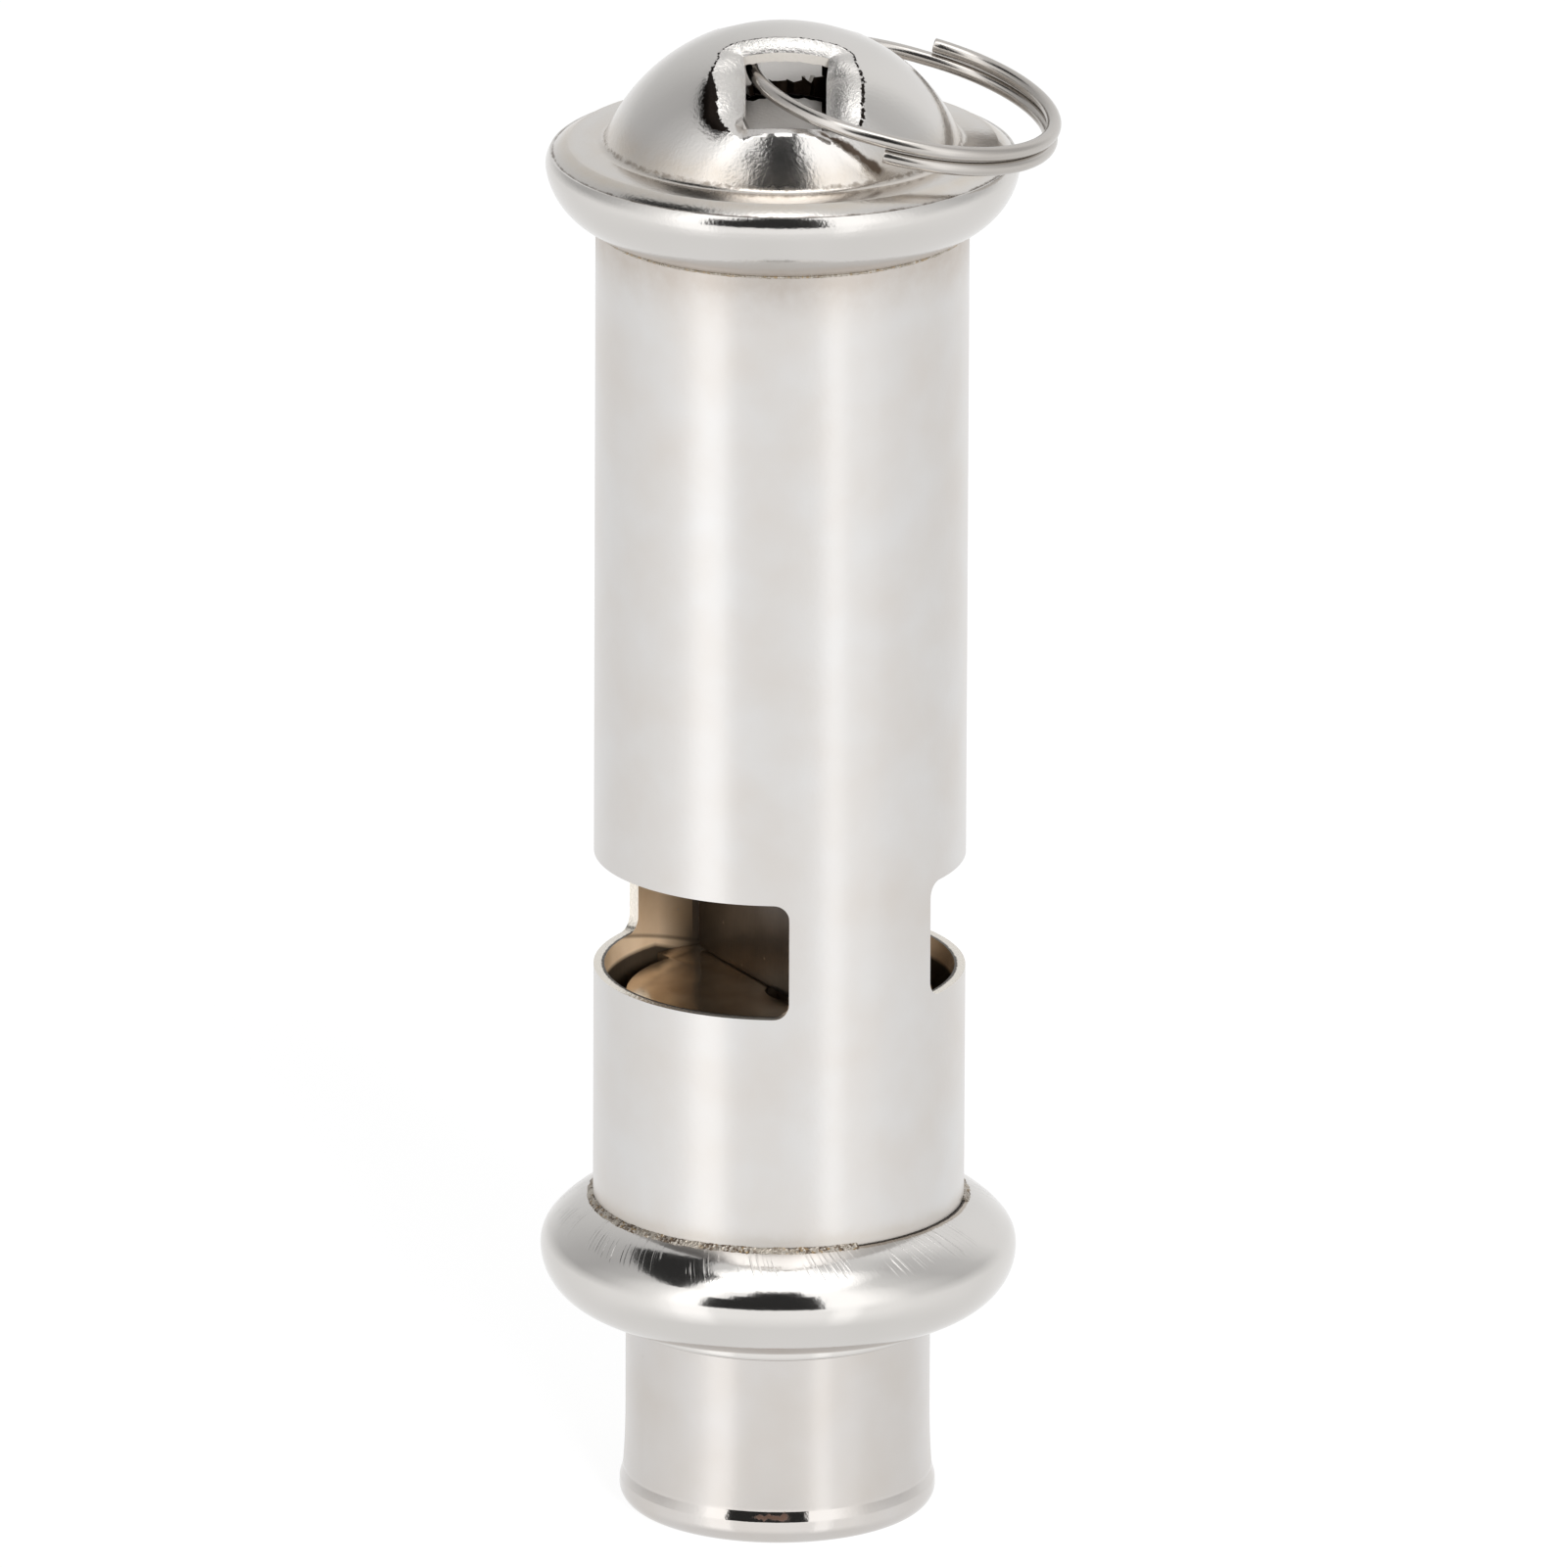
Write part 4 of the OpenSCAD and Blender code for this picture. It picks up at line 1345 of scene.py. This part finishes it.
    def world(self) -> None:
        """Surrounds the object with a white tent with two soft boxes and the dark place of the camera."""
        world = bpy.data.worlds.new("tent")
        bpy.context.scene.world = world
        tree = emptied(world)
        ray = add(tree, "ShaderNodeLightPath").outputs
        way = add(tree, "ShaderNodeTexCoord").outputs["Generated"]
        turned = add(tree, "ShaderNodeMapping", {0: way, 2: (0, 0, math.radians(-CAP_TURN))})
        x, y, z = add(tree, "ShaderNodeSeparateXYZ", {0: turned}).outputs
        toward = add(tree, MATH, {0: y, 1: -1.0}, operation="MULTIPLY")
        azimuth = add(tree, MATH, {0: x, 1: toward}, operation="ARCTAN2")
        azimuth = add(tree, MATH, {0: azimuth}, operation="DEGREES")
        height = add(tree, MATH, {0: z}, operation="ARCSINE")
        height = add(tree, MATH, {0: height}, operation="DEGREES")
        low = self.ring_of_light(tree, azimuth, self.low_bands)
        high = self.ring_of_light(tree, azimuth, self.high_bands)
        light = add(tree, MIX, {0: add(tree, RANGE, {0: height, 1: -8.0, 2: 12.0}), 2: low, 3: high})
        # A lamp box hangs over the front, and the floor far below is plain
        off = add(tree, MATH, {0: azimuth}, operation="ABSOLUTE")
        front = add(tree, RANGE, {0: off, 1: 55.0, 2: 95.0, 3: 2.6, 4: 0.8})
        for start, end, level in ((58.0, 70.0, front), (78.0, 84.0, 1.9), (-22.0, -46.0, 0.88)):
            share = add(tree, RANGE, {0: height, 1: start, 2: end})
            light = add(tree, MIX, {0: share, 2: light, 3: level})
        for left, right, below, above in self.dark:
            inside: Given = 1.0
            for value, middle, first, last in ((azimuth, left, 0.0, 1.0), (azimuth, right, 1.0, 0.0),
                                               (height, below, 0.0, 1.0), (height, above, 1.0, 0.0)):
                side = add(tree, RANGE, {0: value, 1: middle - self.dark_edge, 2: middle + self.dark_edge,
                                         3: first, 4: last}, interpolation_type="SMOOTHSTEP")
                inside = add(tree, MATH, {0: side, 1: inside}, operation="MULTIPLY")
            light = add(tree, MIX, {0: inside, 2: light, 3: self.dark_light})
        seen = add(tree, MIX, {0: ray["Is Camera Ray"], 6: (self.room,) * 3 + (1.0,), 7: (1.0,) * 4},
                   data_type="RGBA")
        tint = add(tree, "ShaderNodeCombineColor", {0: light, 1: light, 2: light})
        shown = add(tree, MIX, {0: ray["Is Glossy Ray"], 6: seen, 7: tint}, data_type="RGBA")
        add(tree, "ShaderNodeOutputWorld", {0: add(tree, "ShaderNodeBackground", {0: shown, 1: 1.0})})

    def lamp(self) -> None:
        """Hangs one soft lamp beside the camera, which lights the inside through the window."""
        data = bpy.data.lights.new("soft_lamp", "AREA")
        data.shape = "DISK"
        data.size = self.lamp_size
        data.energy = self.lamp_watt
        lamp = linked("soft_lamp", data)
        way = self.toward(self.lamp_azimuth, self.lamp_height)
        lamp.location = way * self.lamp_far + Vector((0, 0, self.target_z * MM))
        lamp.rotation_euler = way.to_track_quat("Z", "Y").to_euler()
        lamp.visible_camera = False
        lamp.visible_glossy = False

    def build(self) -> None:
        """Sets the camera, floor, world and lamp."""
        bpy.context.scene.view_settings.view_transform = "Standard"
        self.camera()
        self.floor()
        self.world()
        self.lamp()


def all_finishes() -> dict[str, Material]:
    """Builds all finishes, by name."""
    made = (
        # Barrel: nickel over turned brass, satin, with a touch of flux by the collar's joint, and under the
        # cap a warm band that is partly flux and partly painted shade under the cap's bowl
        Plated("satin_nickel_plate", colour="#E0DFDE", mottle="#DAD5D0", pit_strength=0.6, pebble=0.004,
               roughness=0.28, anisotropy=0.5, mark_depth=0.3,
               stains_and_shade=(StainAndShade(9.5, 16.5, 1.2, colour="#C9BDAD", strength=0.3, grain=1.2, soft=0.5),
                       # Under the cap: warm flux, darkened as painted shade under the bowl's overhang
                       StainAndShade(9.5, 68.2, 3.0, colour="#BFAF9F", strength=0.45, grain=1.6, soft=0.7,
                             cover=0.45))),
        # Mouthpiece: the same plate, buffed at the lip, with a rubbed brown patch in the front crease
        Plated("turned_nickel_plate", colour="#D8D5D3", mottle="#D1CBC5", pit_strength=0.4, pebble=0.004,
               roughness=0.27, anisotropy=0.5, mark_depth=0.4, buffed_below=1.92,
               creases=(Crease((6.28, -5.0, 1.58), (7.39, -3.14, 1.58), (0.0, 0.0, 1.58), 0.3, "#B88E7A"),)),
        # Collar: buffed like a mirror, filed at the joint, dirt in the corner at the joint, and painted
        # shade in the corner under it, on its foot
        Plated("buffed_nickel_plate", colour="#DFDCD9", shade="#D9D6D2", roughness=0.11, wave=0.015,
               mark_depth=0.1, pebble=0.003, scratched_above=15.1,
               stains_and_shade=(StainAndShade(9.65, 16.45, 0.22, colour="#9A8872", strength=0.6),
                       StainAndShade(9.56, 16.48, 0.12, colour="#2A211B"),
                       # Painted shade in the corner under the collar, on its foot ring
                       StainAndShade(8.6, 10.95, 0.6, colour="#958B82", strength=0.55, grain=1.5, soft=0.5))),
        # Cap: buffed over pressed sheet, so its reflections are ragged, dirt at the dome's foot and the brim
        Plated("buffed_cap_plate", colour="#DFDCD9", shade="#D9D6D2", roughness=0.14, wave=0.015,
               mark_depth=0.1, pebble=0.007, pebble_size=0.18, pressed=True,
               creases=(Crease((7.1, -1.84, 75.5), (8.89, 0.94, 73.0), (0.0, 0.0, 68.85), 0.42, "#5F4C3B"),),
               stains_and_shade=(StainAndShade(9.1, 72.86, 0.2, strength=0.6, grain=0.4, cover=0.22),
                       StainAndShade(11.7, 72.13, 0.1, colour="#5A4A3D", strength=0.7, grain=1.0, cover=0.22),
                       StainAndShade(9.4, 73.4, 1.8, colour="#D0BDA4", strength=0.45, grain=1.4, soft=0.7, cover=0.5),
                       StainAndShade(11.2, 72.6, 0.8, colour="#D6C5AC", strength=0.4, grain=1.2, soft=0.7, cover=0.4),
                       StainAndShade(9.6, 68.4, 0.8, colour="#A39480", strength=0.35, soft=0.4))),
        # Folded tongues, where no buff reaches, the rear tongue's torn end painted dark as the tunnel's
        # shade, and the sheet's cut faces
        Plated("unbuffed_nickel_plate", colour="#E2DEDA", shade="#CFCAC4", roughness=0.35, pebble=0.03,
               metal=0.5),
        Plated("torn_end_painted_shade", colour="#4A3D33", shade="#2B231D", roughness=0.5, pebble=0.03),
        Plated("cut_sheet_face", colour="#E2DDD6", shade="#CFC9C1", roughness=0.4, pebble=0.02, metal=0.5),
        # Burr round the windows, with a broken dark line inside it, and on the plate's ends; its near-white
        # colour is a painted highlight
        Plated("burr_painted_highlight", colour="#FAF5EC", shade="#EFE7DA", roughness=0.18, metal=0.8, pebble=0.03,
               pebble_size=0.15,
               stains_and_shade=(StainAndShade(9.0, 28.8, 0.14, colour="#2B221B", grain=0.25, cover=0.5),)),
        # Steel wire of the ring, drawn and polished
        Plated("ring_steel_wire", colour="#CFCBC7", shade="#BDB8B2", roughness=0.2, mark_depth=0.1),
        # The tube's inside is under a matt film, with painted shade beside the plug and the plate, and the
        # plug and the plate are rubbed bright
        BareBrass("tube_inside_brass", "#FFE0BC", "#EBC79D", roughness=0.4, metal=0.1, plug_top=27.3),
        BareBrass("plug_brass", "#EAD6BA", "#B89F80", roughness=0.16, metal=0.9),
        BareBrass("divider_brass", "#6E6A67", "#5B5754", roughness=0.33, metal=0.9),
        BareBrass("disc_brass", "#5E4C3A", "#3A2F26", roughness=0.5, metal=0.5),
        # The collar's solder is dark with flux, and the cap's was wiped clean
        Grit("soft_solder"),
        Grit("cap_soft_solder", dark="#B3A999", light="#CBC4BA", gold="#BFA98A"))
    return {finish.name: finish.build() for finish in made}


def main() -> None:
    """Builds the whistle's looks."""
    logging.basicConfig(level=logging.INFO, format="%(message)s")
    Studio().build()
    look = all_finishes()
    Barrel().build(look["satin_nickel_plate"], look["tube_inside_brass"], look["burr_painted_highlight"])
    Inside().build(look["plug_brass"], look["divider_brass"], look["disc_brass"], look["burr_painted_highlight"])
    Mouthpiece().build(look["turned_nickel_plate"])
    Collar().build(look["buffed_nickel_plate"], look["soft_solder"])
    Bowl().build(look["buffed_cap_plate"], look["cap_soft_solder"])
    Dome().build(look["buffed_cap_plate"], look["unbuffed_nickel_plate"], look["torn_end_painted_shade"],
                 look["cut_sheet_face"])
    SplitRing().build(look["ring_steel_wire"])


if __name__ == "__main__":
    main()
